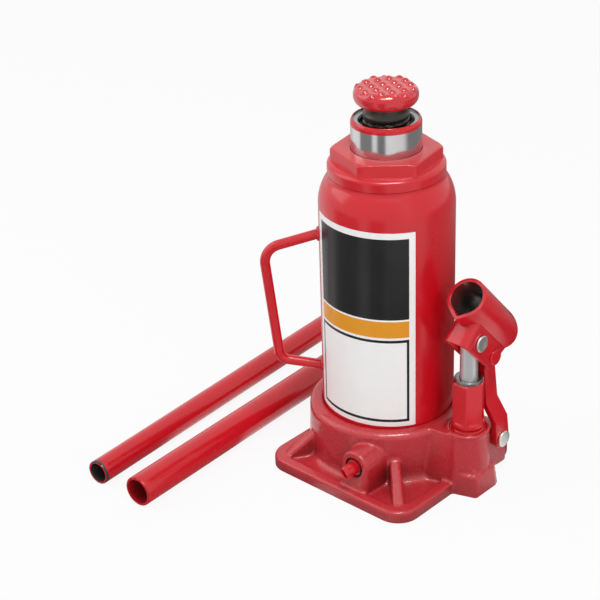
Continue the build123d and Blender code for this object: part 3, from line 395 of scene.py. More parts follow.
def soft_hexagon(angle, across_half, turn, sharpness):
    """Radius of a hexagon with slightly rounded corners: a (sum over sides of cos^p)^(-1/p)."""
    sides = math.radians(turn + 30.0) + np.arange(6) * TURN / 6
    facing = np.maximum(np.cos(angle[None, :] - sides[:, None]), 0.0)
    return across_half * np.sum(facing**sharpness, axis=0) ** (-1 / sharpness)


def tapered(outline, centre, levels):
    """Rows of one outline, each drawn in towards a centre by a share and set at a height."""
    rows = [np.c_[centre + (outline - centre) * share, np.full(len(outline), z)] for share, z in levels]
    return np.stack(rows)


def bent_path(corners, bends, step):
    """Points along a plane path of straight runs joined by arcs.

    An arc of radius R between unit runs a and b starts R tan(turn/2) before the corner and is
    centre + R(a sin t - n cos t), where n points from the run to the arc's centre.
    """
    corners = np.asarray(corners, float)
    runs = np.diff(corners, axis=0)
    runs = runs / np.linalg.norm(runs, axis=1)[:, None]
    pieces = [corners[:1]]
    for corner, a, b, radius in zip(corners[1:-1], runs[:-1], runs[1:], bends):
        turn = math.acos(float(np.clip(a @ b, -1, 1)))
        start = corner - a * radius * math.tan(turn / 2)
        inward = (b - a * math.cos(turn)) / math.sin(turn)
        t = np.linspace(0, turn, max(6, int(radius * turn / step)))[:, None]
        pieces.append(start + inward * radius + radius * (a * np.sin(t) - inward * np.cos(t)))
    pieces.append(corners[-1:])
    return np.concatenate(pieces)


def plane_sweep(path, normal, radius, columns=40):
    """Round tube along a path in a plane: p + r (n cos a + (t x n) sin a), closed by a point at each end."""
    tangent = np.gradient(path, axis=0)
    tangent = tangent / np.linalg.norm(tangent, axis=1)[:, None]
    side = np.cross(tangent, normal)
    angle = ring_angles(columns)[None, :, None]
    tube = path[:, None] + radius * (np.cos(angle) * normal + np.sin(angle) * side[:, None])
    first = np.repeat(path[:1, None], columns, axis=1)
    last = np.repeat(path[-1:, None], columns, axis=1)
    return np.concatenate([first, tube, last])


# Finishes


class Tree:
    """The node tree of a material or a world, and short ways to add nodes to it."""

    def __init__(self, owner):
        owner.use_nodes = True
        self.nodes, self.links = owner.node_tree.nodes, owner.node_tree.links

    def feed(self, socket, value):
        """Link a socket to another node's output, or give it a value."""
        if hasattr(value, "links"):
            self.links.new(value, socket)
        else:
            socket.default_value = value

    def node(self, kind, output, inputs, **settings):
        """Output of a new node whose inputs are fed by name or number."""
        node = self.nodes.new(f"ShaderNode{kind}")
        for name, value in settings.items():
            setattr(node, name, value)
        for key, value in inputs.items():
            self.feed(node.inputs[key], value)
        return node.outputs[output]

    def math(self, operation, *values):
        return self.node("Math", "Value", dict(enumerate(values)), operation=operation)

    def times(self, first, second):
        return self.math("MULTIPLY", first, second)

    def seen(self):
        """1 for rays from the camera, a mirror or a glass, otherwise 0."""
        path = self.nodes.new("ShaderNodeLightPath").outputs
        reflected = self.math("MAXIMUM", path["Is Glossy Ray"], path["Is Transmission Ray"])
        return self.math("MAXIMUM", path["Is Camera Ray"], reflected)

    def show(self, share, first, second, output):
        """Mix two shaders by a share and let the tree show the result."""
        mixed = self.node("MixShader", "Shader", {0: share, 1: first, 2: second})
        self.feed(self.nodes[output].inputs["Surface"], mixed)


class Finish(Tree):
    """One procedural material on the principled shader."""

    def __init__(self, name):
        self.material = bpy.data.materials.new(name)
        super().__init__(self.material)
        self.shader = self.nodes["Principled BSDF"]
        self.place = self.nodes.new("ShaderNodeTexCoord").outputs

    def set(self, **values):
        """Feed the shader's sockets, named with _ for a space."""
        for key, value in values.items():
            self.feed(self.shader.inputs[key.replace("_", " ")], value)

    def noise(self, scale, detail=3.0, rough=0.5, vector=None):
        vector = self.place["Object"] if vector is None else vector
        inputs = {"Vector": vector, "Scale": scale, "Detail": detail, "Roughness": rough}
        return self.node("TexNoise", "Fac", inputs)

    def remap(self, value, low, high, to_low=0.0, to_high=1.0):
        inputs = {"Value": value, "From Min": low, "From Max": high, "To Min": to_low, "To Max": to_high}
        return self.node("MapRange", "Result", inputs)

    def vector(self, operation, output, *values):
        return self.node("VectorMath", output, dict(enumerate(values)), operation=operation)

    def blend(self, share, *tones):
        """Mix two tones; each is a colour or a socket."""
        first, second = (tone if hasattr(tone, "links") else (*tone, 1.0) for tone in tones)
        return self.node("Mix", 2, {"Factor": share, 6: first, 7: second}, data_type="RGBA")

    def bump(self, height, strength, distance):
        inputs = {"Height": height, "Strength": strength, "Distance": distance}
        self.set(Normal=self.node("Bump", "Normal", inputs))

    def axis(self, name, source="Object"):
        return self.node("SeparateXYZ", name, {"Vector": self.place[source]})

    def openness(self, distance):
        """How open a place is within a distance: 1 in the open, less in hollows and corners."""
        return self.node("AmbientOcclusion", "AO", {"Distance": distance}, samples=8)

    def between(self, value, low, high):
        """1 where a value lies between two bounds, otherwise 0."""
        return self.times(self.math("GREATER_THAN", value, low), self.math("LESS_THAN", value, high))


def tinted(tone, *mix):
    """A colour times one factor, or times one factor each for red, green and blue."""
    return tuple(part * factor for part, factor in zip(tone, mix if len(mix) == 3 else mix * 3))


def enamel_nodes(finish, look, rough=0.24):
    """Sprayed enamel: broad drifts from thin to deep red, an orange peel skin and a clear gloss."""
    drift = finish.noise(14.0)
    finish.bump(finish.noise(520.0, 2.0), 0.2, 0.00005)
    finish.set(
        Roughness=finish.remap(drift, 0.3, 0.7, rough - 0.03, rough + 0.04),
        Coat_Weight=0.25,
        Coat_Roughness=0.06,
        Specular_IOR_Level=0.42,
    )
    return finish.blend(finish.remap(drift, 0.35, 0.75), look.enamel, look.enamel_deep)


def red_enamel(name, look):
    """Gloss enamel on pressed and turned steel."""
    finish = Finish(name)
    finish.set(Base_Color=enamel_nodes(finish, look))
    return finish.material


def thick_enamel(name, look):
    """Enamel that stands thick and wet on the saddle's domes."""
    finish = Finish(name)
    finish.set(Base_Color=enamel_nodes(finish, look, 0.2), Coat_Weight=0.6, Coat_Roughness=0.1)
    return finish.material


def cast_enamel(name, look):
    """Enamel over a sand casting: a coarse skin with shallow pits, and painted shade on walls in hollows,
    from ambient occlusion.
    """
    finish = Finish(name)
    drift = finish.noise(22.0, 4.0)
    skin = finish.noise(620.0, 4.0, 0.62)
    cells = finish.node("TexVoronoi", "Distance", {"Vector": finish.place["Object"], "Scale": 330.0})
    pits = finish.times(finish.remap(cells, 0.0, 0.35), 0.35)
    share = finish.math("ADD", finish.times(drift, 0.6), finish.times(skin, 0.5))
    tone = finish.blend(finish.remap(share, 0.35, 0.8), look.cast_enamel, look.cast_deep)
    # Painted shade: ambient occlusion darkens the walls in hollows and corners to a deeper red; faces that
    # look up are left out
    upright = finish.remap(finish.axis("Z", "Normal"), 0.3, 0.8, 1.0, 0.0)
    painted_hollow_shade = finish.times(finish.remap(finish.openness(0.03), 0.35, 0.85, 0.8, 0.0), upright)
    finish.bump(finish.math("ADD", skin, pits), 0.9, 0.0005)
    finish.set(
        Base_Color=finish.blend(painted_hollow_shade, tone, tinted(look.cast_deep, 0.45)),
        Roughness=finish.remap(skin, 0.3, 0.7, 0.44, 0.60),
        Coat_Weight=0.6,
        Coat_Roughness=0.09,
        Specular_IOR_Level=0.5,
    )
    return finish.material


def turned_steel_nodes(finish, tone, rough):
    """Ground steel: fine lines round the piece, from noise drawn out across the ram's axis."""
    drawn_out = {"Vector": finish.place["Object"], "Scale": (60.0, 60.0, 5200.0)}
    lines = finish.noise(1.0, 2.0, 0.6, finish.node("Mapping", "Vector", drawn_out))
    clouds = finish.noise(35.0)
    line_rough = finish.remap(lines, 0.3, 0.7, rough - 0.04, rough + 0.06)
    cloud_rough = finish.remap(clouds, 0.3, 0.7, -0.02, 0.03)
    finish.bump(lines, 0.12, 0.00002)
    finish.set(Metallic=1.0, Roughness=finish.math("ADD", line_rough, cloud_rough))
    return finish.blend(finish.remap(clouds, 0.3, 0.75), tone, tinted(tone, 0.8))


def ground_steel(name, look):
    """Bright ground steel."""
    finish = Finish(name)
    finish.set(Base_Color=turned_steel_nodes(finish, tinted(look.steel, 1.1), 0.15))
    return finish.material


def dull_steel(name, look):
    """Turned steel at half the ground steel's tone, and rougher."""
    finish = Finish(name)
    finish.set(Base_Color=turned_steel_nodes(finish, tinted(look.steel, 0.5), 0.26))
    return finish.material


def ram_steel(look, paint, top, mouth):
    """Ground steel with a painted band round the ram's rim, and painted shade in the mouth inside it: the
    step below the rim and the bore are darkened nearly to black.

    Paint is the band's width, top the rim's height, and mouth the radii where the paint ends, where the
    mouth's grey ledge begins and where that ends, all in metres.
    """
    finish = Finish("ram_ground_steel")
    bare = turned_steel_nodes(finish, look.steel, 0.15)
    wave = finish.remap(finish.noise(190.0, 2.0), 0.3, 0.7, -0.00006, 0.00006)
    level = finish.math("ADD", finish.axis("Z"), wave)
    x, y = finish.axis("X"), finish.axis("Y")
    reach = finish.math("SQRT", finish.math("ADD", finish.times(x, x), finish.times(y, y)))
    edge, ledge, bore = mouth
    band = finish.between(level, top - paint, top + 0.01)
    painted = finish.times(band, finish.math("GREATER_THAN", reach, edge))
    red = finish.blend(finish.noise(60.0), look.enamel, look.enamel_deep)
    # Painted shade: near the top, the step between ledge and rim and the bore below the ledge take a nearly
    # black steel tone
    dark = finish.math("ADD", finish.between(reach, ledge, edge), finish.math("LESS_THAN", reach, bore))
    painted_mouth_shade = finish.times(finish.math("GREATER_THAN", level, top - 0.02), dark)
    ring = finish.times(finish.math("GREATER_THAN", level, top - 0.002), finish.between(reach, bore, ledge))
    bare = finish.blend(finish.times(ring, 0.7), bare, tinted(look.steel, 0.35))
    bare = finish.blend(painted_mouth_shade, bare, tinted(look.black_steel, 2.0))
    finish.set(Base_Color=finish.blend(painted, bare, red), Metallic=finish.math("SUBTRACT", 1.0, painted))
    return finish.material


def clouded(name, tone, other, clouds, spread, rough, metallic, grain=None):
    """Two tones in clouds of a scale and detail, each with its roughness, and a grain as bump.

    Spread is the range of the clouds from the first tone to the other one. The grain is given as the
    scale and detail of its noise, its strength and its depth.
    """
    finish = Finish(name)
    drift = finish.noise(*clouds)
    if grain:
        finish.bump(finish.noise(*grain[:2]), *grain[2:])
    finish.set(
        Base_Color=finish.blend(finish.remap(drift, *spread), tone, other),
        Roughness=finish.remap(drift, 0.3, 0.7, *rough),
        Metallic=metallic,
    )
    return finish.material


def black_steel(name, look):
    """Oil-blackened steel with brown traces."""
    brown, grain = tinted(look.black_steel, 2.6, 2.2, 1.9), (900.0, 2.0, 0.2, 0.00003)
    return clouded(name, look.black_steel, brown, (90.0, 4.0), (0.35, 0.75), (0.26, 0.42), 0.75, grain)


def zinc_plate(name, look):
    """Bright zinc plate with faint blue and yellow clouds."""
    warm, grain = tinted(look.zinc, 1.0, 0.96, 0.86), (700.0, 3.0, 0.15, 0.00003)
    return clouded(name, look.zinc, warm, (160.0, 4.0), (0.35, 0.7), (0.32, 0.44), 1.0, grain)


def seal_rubber(name, look):
    """Black rubber with a fine matt grain."""
    lighter, grain = tinted(look.rubber, 1.9), (1100.0, 3.0, 0.3, 0.00004)
    return clouded(name, look.rubber, lighter, (1100.0, 3.0), (0.3, 0.7), (0.5, 0.68), 0.0, grain)


def soft_copper(name, look):
    """Annealed copper with darker clouds."""
    dull = tinted(look.copper, 0.6)
    return clouded(name, look.copper, dull, (120.0, 4.0), (0.35, 0.7), (0.28, 0.45), 1.0)


def tube_paint(name, look, bare_end, outer, inside, blown):
    """Enamel on a tube's outside, bare dark steel inside it and on its near end.

    The tube's UV runs along it in metres, outside first and then inside from the near end, where some
    of the spray is blown in.
    """
    finish = Finish(name)
    red = enamel_nodes(finish, look)
    mark = finish.axis("Y", "UV")
    ragged = finish.math("ADD", mark, finish.remap(finish.noise(160.0), 0.3, 0.7, -0.0006, 0.0006))
    # Dark bare steel inside the tube and on its bare end, with darker clouds
    dark_bare = finish.blend(finish.noise(210.0, 4.0), look.bare_tube, tinted(look.bare_tube, 0.45))
    depth = finish.remap(mark, inside, inside + 0.03, blown, 0.0)
    dark_bare = finish.blend(depth, dark_bare, tinted(look.enamel_deep, 0.8))
    finish.set(Base_Color=finish.blend(finish.between(ragged, bare_end, outer), dark_bare, red))
    return finish.material


def socket_paint(look, centre, along, bore):
    """Enamel outside and dark bare steel in the socket's bore, told apart by the distance from its axis."""
    finish = Finish("socket_enamel")
    red = enamel_nodes(finish, look)
    offset = finish.vector("SUBTRACT", "Vector", finish.place["Object"], centre)
    reach = finish.vector("LENGTH", "Value", finish.vector("CROSS_PRODUCT", "Vector", offset, along))
    edge = finish.math("ADD", reach, finish.remap(finish.noise(240.0), 0.3, 0.7, -0.0002, 0.0002))
    depth = finish.vector("DOT_PRODUCT", "Value", offset, along)
    blown_in = finish.remap(depth, -0.016, 0.001, 0.0, 0.8)
    # Dark bare steel in the bore, with darker clouds
    dark_bare = finish.blend(finish.noise(150.0, 4.0), look.bare_tube, tinted(look.bare_tube, 0.4))
    dark_bare = finish.blend(blown_in, dark_bare, tinted(look.enamel_deep, 0.4))
    finish.set(Base_Color=finish.blend(finish.math("LESS_THAN", edge, bore), red, dark_bare))
    return finish.material


def label_vinyl(look, width, height):
    """Printed vinyl: white border, dark upper panel, a stripe and a white lower panel with a thin frame.

    The label's UV is its own flat place in metres, from its lower left corner. The panels are given as
    shares of its width and height.
    """
    finish = Finish("label_vinyl")
    u, v = finish.axis("X", "UV"), finish.axis("Y", "UV")

    def panel(left, right, low, high):
        across = finish.between(u, left * width, right * width)
        return finish.times(across, finish.between(v, low * height, high * height))

    left, right = 0.06, 0.945
    ink = finish.remap(finish.noise(60.0), 0.3, 0.7)
    white = finish.blend(ink, look.label_white, tinted(look.label_white, 0.98))
    dark = finish.blend(ink, look.label_dark, tinted(look.label_dark, 1.3))
    tone = finish.blend(panel(left, right, 0.565, 0.970), white, dark)
    tone = finish.blend(panel(left, right, 0.472, 0.556), tone, look.label_stripe)
    line = finish.math("SUBTRACT", panel(left, right, 0.024, 0.46), panel(0.082, 0.923, 0.038, 0.446))
    finish.bump(finish.noise(90.0, 2.0), 0.05, 0.00005)
    finish.set(
        Base_Color=finish.blend(line, tone, look.label_dark),
        Roughness=finish.remap(finish.noise(300.0, 2.0), 0.3, 0.7, 0.30, 0.36),
        Coat_Weight=0.1,
        Coat_Roughness=0.1,
        Specular_IOR_Level=0.3,
    )
    return finish.material


MAKERS = {
    "red_enamel_gloss": red_enamel,
    "red_enamel_thick": thick_enamel,
    "red_enamel_cast": cast_enamel,
    "ground_steel": ground_steel,
    "dull_steel": dull_steel,
    "oil_black_steel": black_steel,
    "bright_zinc": zinc_plate,
    "black_rubber": seal_rubber,
    "soft_copper": soft_copper,
}

# Finish of each material slot, where a piece has none of its own
SLOT_FINISH = {
    "red_cast": "red_enamel_cast",
    "red_enamel": "red_enamel_gloss",
    "ground_steel": "ground_steel",
    "black_steel": "oil_black_steel",
    "zinc_steel": "bright_zinc",
    "soft_copper": "soft_copper",
    "black_rubber": "black_rubber",
}


def finish_named(name):
    """A shared finish, made when it is first asked for."""
    return bpy.data.materials.get(name) or MAKERS[name](name, bpy.context.scene.jack_finish)


def dress(piece, node, material=None):
    """Let a piece stand for a solid, move with its body and take its slot's finish or one of its own."""
    slot = next(part["material_slot"] for part in frame["record"]["subparts"] if part["node"] == node)
    piece.data.materials.clear()
    piece.data.materials.append(material or finish_named(SLOT_FINISH[slot]))
    bodies = frame["record"]["behaviour"]["bodies"]
    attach(piece, next(body for body, nodes in bodies.items() if node in nodes))
    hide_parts(node)


def add_to_base(piece):
    """Paint a piece that stands for no solid of its own and fix it to the base."""
    piece.data.materials.append(finish_named(SLOT_FINISH["red_enamel"]))
    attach(piece, "base")


# Pieces


class JACK_OT_tank(bpy.types.Operator):
    """Build the reservoir tank as a spun wall with the filler hole"""

    bl_idname = "jack.tank"
    bl_label = "Tank"

    def execute(self, context):
        low, high = span("reservoir_tank")
        radius, bottom, top, wall = high[0], low[2], high[2], 3.0
        shoulder, straight, neck, neck_wall = 32.0, 189.0, 38.6, 2.6
        hole, hole_depth = 5.05, 8.0
        centre = (radius - shoulder, straight)
        outer_end = math.acos((neck - centre[0]) / shoulder)
        inner_end = math.acos((neck - neck_wall - centre[0]) / (shoulder - wall))
        outline = np.concatenate(
            [
                [(radius, bottom)],
                np.linspace((radius, bottom + 1), (radius, straight - 1), 30),
                arc(centre, shoulder, 0, outer_end, 24),
                [(neck, top - 0.5), (neck - 0.15, top - 0.15), (neck - 0.5, top), (neck - neck_wall, top)],
                arc(centre, shoulder - wall, inner_end, 0, 16),
                [(radius - wall, straight - 1), (radius - wall, bottom)],
            ]
        )
        tank = grid_object("tank", spun(outline, 224), closed_rows=True)
        out = outwards(FILLER_BEARING)
        drill = [(0.0, -hole_depth), (hole, -hole_depth), (hole, hole_depth), (0.0, hole_depth)]
        cutter = placed(spun(drill, 48), out * radius + FILLER_HEIGHT * UP, UP, out)
        cut_away(tank, grid_object("tank_hole", cutter))
        dress(tank, "reservoir_tank")
        return {"FINISHED"}


class JACK_OT_label(bpy.types.Operator):
    """Lay the label sheet round the front of the tank"""

    bl_idname = "jack.label"
    bl_label = "Label"

    def execute(self, context):
        sizes, look = context.scene.jack_sizes, context.scene.jack_finish
        radius = span("reservoir_tank")[1][0] + 0.02
        left, right, low, high, corner = -35.5, 63.5, 44.5, 187.0, 0.6
        width, height = math.radians(right - left) * radius, high - low
        v = np.concatenate(
            [
                np.linspace(0, corner, 10),
                np.linspace(corner, height - corner, 40)[1:-1],
                np.linspace(height - corner, height, 10),
            ]
        )
        drop = np.maximum(np.maximum(corner - v, v - (height - corner)), 0.0)
        inset = corner - np.sqrt(np.maximum(corner**2 - drop**2, 0.0))
        u = np.linspace(inset, width - inset, 90, axis=1)
        angle = math.radians(left) + u / radius
        # The sheet was put on a little askew, so it drops as it goes round
        z = low + v[:, None] - 0.026 * radius * (angle - 0.2)
        skin, back = (
            np.stack([reach * np.sin(angle), -reach * np.cos(angle), z], axis=-1)
            for reach in (radius + sizes.label_sheet / MM, radius)
        )
        flat = np.stack([u, v[:, None] + 0 * u], axis=-1)
        # Front and back are one closed band of points, so the sheet's cut edge is closed too
        band = np.concatenate([skin, back[:, ::-1]], axis=1)
        sheet = np.concatenate([flat, flat[:, ::-1]], axis=1)
        closing = np.concatenate([back, back[:, ::-1]], axis=1)
        points = np.concatenate([closing[:1], band, closing[-1:]])
        places = np.concatenate([sheet[:1], sheet, sheet[-1:]])
        label = grid_object("label", points, sheet=places)
        label.data.materials.append(label_vinyl(look, width * MM, height * MM))
        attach(label, "base")
        return {"FINISHED"}


class JACK_OT_cap_nut(bpy.types.Operator):
    """Build the hexagon cap nut with its flange and crown"""

    bl_idname = "jack.cap_nut"
    bl_label = "Cap nut"

    def execute(self, context):
        top, columns = span("cap_nut")[1][2], 360
        bottom, rim_top, flange_top, flange, shelf, bore = 210.7, 217.2, 218.8, 38.6, 36.4, 23.05
        half, turn, sharpness, crown, fall = 31.9, 40.8, 62.0, 34.2, 0.39
        angle = ring_angles(columns)
        hexagon = soft_hexagon(angle, half, turn, sharpness)
        collar = rounded(
            [(bore, bottom, 0.0), (flange, bottom, 0.6), (flange, rim_top, 1.2), (shelf, flange_top, 0.0)]
        )
        # Rows of the hexagon: the way out from its wall, and the height over the flange or under the crown
        foot = np.array([(0.6, 0.0), (0.2, 0.12), (0.0, 0.6)])
        edge = np.array([(0.0, 0.9), (-0.12, 0.32), (-0.4, 0.06), (-0.9, 0.0), (-2.0, 0.0)])
        reach = hexagon + edge[:, :1]
        crowned = top - fall * np.maximum(reach - crown, 0.0)
        mouth = [(28.5, top), (bore + 0.9, top), (bore + 0.25, top - 0.2), (bore, top - 0.8)]
        rows = [
            spun(collar, columns),
            ringed(angle, hexagon + foot[:, :1], flange_top + foot[:, 1:]),
            ringed(angle, reach, crowned - edge[:, 1:]),
            spun(mouth, columns),
        ]
        nut = grid_object("cap_nut_body", np.concatenate(rows), closed_rows=True)
        dress(nut, "cap_nut")
        return {"FINISHED"}


class JACK_OT_ram(bpy.types.Operator):
    """Build the ground ram with its painted rim and threaded mouth"""

    bl_idname = "jack.ram"
    bl_label = "Ram"

    def execute(self, context):
        sizes, look = context.scene.jack_sizes, context.scene.jack_finish
        top = span("ram")[1][2]
        post, land, land_low, land_high = 23.0, 25.95, 40.7, 52.7
        bore, bore_top, relief, relief_low, relief_high = 15.25, top - 6.0, 16.65, 142.0, top - 36.0
        foot = [(0.0, land_low, 0.0), (land, land_low, 0.4), (land, land_high, 0.4), (post, land_high, 0.0)]
        rim = [(post, top - 6.0, 0.0), (post, top - 1.9, 1.9), (22.0, top, 0.9), (21.2, top, 0.3)]
        ledge = [(20.7, top - 1.3, 0.2), (18.5, top - 1.3, 0.5), (17.3, top - 3.0, 0.3)]
        mouth = [(16.6, bore_top, 0.0), (bore, bore_top, 0.3), (bore, relief_high, 0.0)]
        inside = [(relief, relief_high, 0.0), (relief, relief_low, 0.0), (0.0, relief_low, 0.0)]
        ram = turned("ram_post", [*foot, *rim, *ledge, *mouth, *inside], 200, steps=9)
        mouth_radii = (21.3 * MM, 20.75 * MM, 18.2 * MM)
        steel = ram_steel(look, sizes.ram_paint, top * MM, mouth_radii)
        dress(ram, "ram", steel)
        return {"FINISHED"}


class JACK_OT_extension_screw(bpy.types.Operator):
    """Cut the thread of the extension screw"""

    bl_idname = "jack.extension_screw"
    bl_label = "Extension screw"

    def execute(self, context):
        sizes, columns = context.scene.jack_sizes, 144
        pitch, depth = sizes.thread_pitch / MM, sizes.thread_depth / MM
        low, high = span("extension_screw")
        bottom, top, crest, neck, foot = low[2], high[2], 15.15, 13.9, 11.0
        start, end = bottom + 4.0, top - 6.4
        angle = ring_angles(columns)
        z = np.linspace(start, end, int((end - start) / pitch * 14))[:, None]
        # Thread: the radius falls by the depth where the helix's triangle wave is past a flat crest
        wave = np.abs(2 * np.mod(z / pitch - angle / TURN, 1.0) - 1.0)
        runout = np.clip((end - z) / (1.2 * pitch), 0.0, 1.0) * np.clip((z - start) / pitch, 0.0, 1.0)
        radius = crest - depth * smoothstep((wave - 0.30) / 0.42) * runout
        stem = [(0.0, bottom), (foot - 0.2, bottom), (foot, bottom + 0.3), (foot, start)]
        taper = [(crest - 0.1, end + 0.35), (crest - 0.5, end + 0.9), (neck + 0.2, end + 2.0)]
        head = [(neck, end + 3.2), (neck, top - 0.2), (neck - 0.2, top), (0.0, top)]
        rows = [spun(stem, columns), ringed(angle, radius, z), spun([*taper, *head], columns)]
        screw = grid_object("extension_thread", np.concatenate(rows))
        dress(screw, "extension_screw")
        return {"FINISHED"}


class JACK_OT_saddle(bpy.types.Operator):
    """Build the load saddle with its lattice of domes"""

    bl_idname = "jack.saddle"
    bl_label = "Saddle"

    def execute(self, context):
        height, columns = context.scene.jack_sizes.bump_height / MM, 300
        bottom, top, radius, edge, heel = 256.52, 268.3, 20.9, 5.0, 5.6
        pitch, turn, first_x, first_y, field, dome = 7.85, math.radians(63.0), -3.7, 0.8, 21.4, 2.85
        under = arc((radius - heel, bottom + heel), heel, -np.pi / 2, 0, 14)
        over = arc((radius - edge, top - edge), edge, 0, np.pi / 2, 30)
        flat = np.linspace((radius - edge - 0.4, top), (0.0, top), 44)
        points = spun(np.concatenate([[(0.0, bottom)], under, over, flat]), columns)
        # Lattice of the dome centres, and how near each surface point comes to one of them
        row, column = np.meshgrid(np.arange(-5, 6), np.arange(-5, 6), indexing="ij")
        x = first_x + pitch * (row * math.cos(turn) - column * math.sin(turn))
        y = first_y + pitch * (row * math.sin(turn) + column * math.cos(turn))
        centres = np.stack([x, y], axis=-1).reshape(-1, 2)
        centres = centres[np.linalg.norm(centres, axis=1) < field]
        near = np.min(np.linalg.norm(points[:, :, None, :2] - centres, axis=-1), axis=2)
        # Domes rise straight up on the flat, lean out over the rounded edge and fade away on the side
        lean = np.linspace(0, np.pi / 2, len(over))
        side, face = np.zeros(1 + len(under)), np.ones(len(flat))
        upward = np.concatenate([side, np.sin(lean), face])[:, None]
        outward = np.concatenate([side, 0.5 * np.cos(lean), 0 * face])[:, None]
        rise = height * np.clip(1 - (near / dome) ** 2, 0.0, 1.0) ** 0.9
        rise = rise * np.clip((upward - 0.35) / 0.45, 0.0, 1.0)
        points = points + ringed(ring_angles(columns), rise * outward, rise * upward)
        saddle = grid_object("saddle_pad", points)
        dress(saddle, "saddle", finish_named("red_enamel_thick"))
        return {"FINISHED"}


class JACK_OT_pump(bpy.types.Operator):
    """Build the hexagonal pump cylinder, its gland and the polished plunger"""

    bl_idname = "jack.pump"
    bl_label = "Pump"

    def execute(self, context):
        low, high = span("pump_cylinder")
        axis = (low + high) / 2 * [1, 1, 0]
        bore = 6.05
        self.cylinder(axis, bore, high[2])

        thread, seat, seat_low = 10.9, 12.55, 41.0
        under = [(thread, seat_low, 0.0), (seat, seat_low, 0.0), (seat, seat_low + 2.1, 0.5)]
        over = [(seat - 0.75, seat_low + 2.6, 0.4), (thread, seat_low + 2.2, 0.0)]
        add_to_base(turned("pump_seat_ring", [*under, *over], 120, axis, hollow=True))

        low, high = (corner[2] for corner in span("pump_gland_ring"))
        ring = 9.5
        corners = [(bore, low, 0.3), (ring, low, 0.3), (ring, high, 0.6), (bore, high, 0.5)]
        gland = turned("gland_ring", corners, 96, axis, hollow=True)
        dress(gland, "pump_gland_ring", finish_named("dull_steel"))

        low, high = (corner[2] for corner in span("pump_plunger"))
        rod, nose, nose_top = 6.0, 3.2, low + 5.0
        under = [(0.0, low, 0.0), (nose, low, 0.2), (nose, nose_top, 0.0), (rod, nose_top, 0.3)]
        plunger = turned("plunger_rod", [*under, (rod, high, 2.5), (0.0, high, 0.0)], 96, axis)
        dress(plunger, "pump_plunger")
        return {"FINISHED"}

    def cylinder(self, axis, bore, top):
        """Round collar with fine rings and a bead, and the hexagon with its bevelled top over it."""
        columns, half, turn, sharpness, bevel = 240, 9.85, 0.0, 80.0, 1.2
        collar_bottom, collar_top, collar = 40.2, 50.0, 11.0
        angle = ring_angles(columns)
        hexagon = soft_hexagon(angle, half, turn, sharpness)
        step = np.arange(10)
        rings = np.stack([collar - 0.3 - 0.3 * np.cos(step * np.pi / 3), 42.6 + 0.34 * step], axis=-1)
        start = [(bore, collar_bottom), (collar, collar_bottom)]
        groove = [(collar - 0.9, 45.9), (collar - 0.2, 46.3)]
        bead = [(collar, 46.9), (collar, 48.9), (collar - 0.25, 49.6)]
        foot = np.concatenate([start, rings, groove, bead])
        # Rows of the hexagon: the way out from its wall, and the height
        low = [(0.2, collar_top + 0.05), (0.0, collar_top + 0.6), (0.0, top - bevel - 0.2)]
        high = [(-0.25, top - bevel + 0.2), (-bevel + 0.2, top - 0.12), (-bevel - 0.2, top)]
        wall = np.array([*low, *high])
        hexagon_rows = ringed(angle, hexagon + wall[:, :1], wall[:, 1:])
        points = np.concatenate([spun(foot, columns), hexagon_rows, spun([(bore, top)], columns)])
        cylinder = grid_object("pump_body", points + axis, closed_rows=True)
        dress(cylinder, "pump_cylinder")


class JACK_OT_pins(bpy.types.Operator):
    """Turn the pivot pins with their low heads"""

    bl_idname = "jack.pins"
    bl_label = "Pivot pins"

    def execute(self, context):
        head, head_height, groove_low, groove_high, groove = 5.7, 1.4, 1.4, 2.3, 0.9
        # Radius, and how deep the head is dished, or how high it is domed where that is below 0
        for node, radius, dish in (
            ("plunger_pin", 3.5, 0.2),
            ("lug_pin", 4.5, -0.2),
            ("link_top_pin", 3.2, -0.2),
        ):
            low, high = span(node)
            run = high[0] - low[0]
            under = run - head_height
            rim, brow, face = run - max(0.1, -dish) - 0.1, run - max(0.0, -dish / 2), run - max(0.0, dish)
            tip = [(0.0, 0.0, 0.0), (radius, 0.0, 0.5), (radius, groove_low, 0.0)]
            neck = [(radius - groove, groove_low, 0.0), (radius - groove, groove_high, 0.0)]
            shank = [(radius, groove_high, 0.0), (radius, under, 0.0), (head, under, 0.2), (head, rim, 0.6)]
            dome = [(head - 1.3, brow, 0.8), (head - 3.6, face, 1.2), (0.0, face, 0.0)]
            outline = rounded([*tip, *neck, *shank, *dome])
            middle = (low + high) / 2
            points = placed(spun(outline, 72), (low[0], middle[1], middle[2]), UP, (1, 0, 0))
            dress(grid_object(f"{node}_turned", points), node)
        return {"FINISHED"}


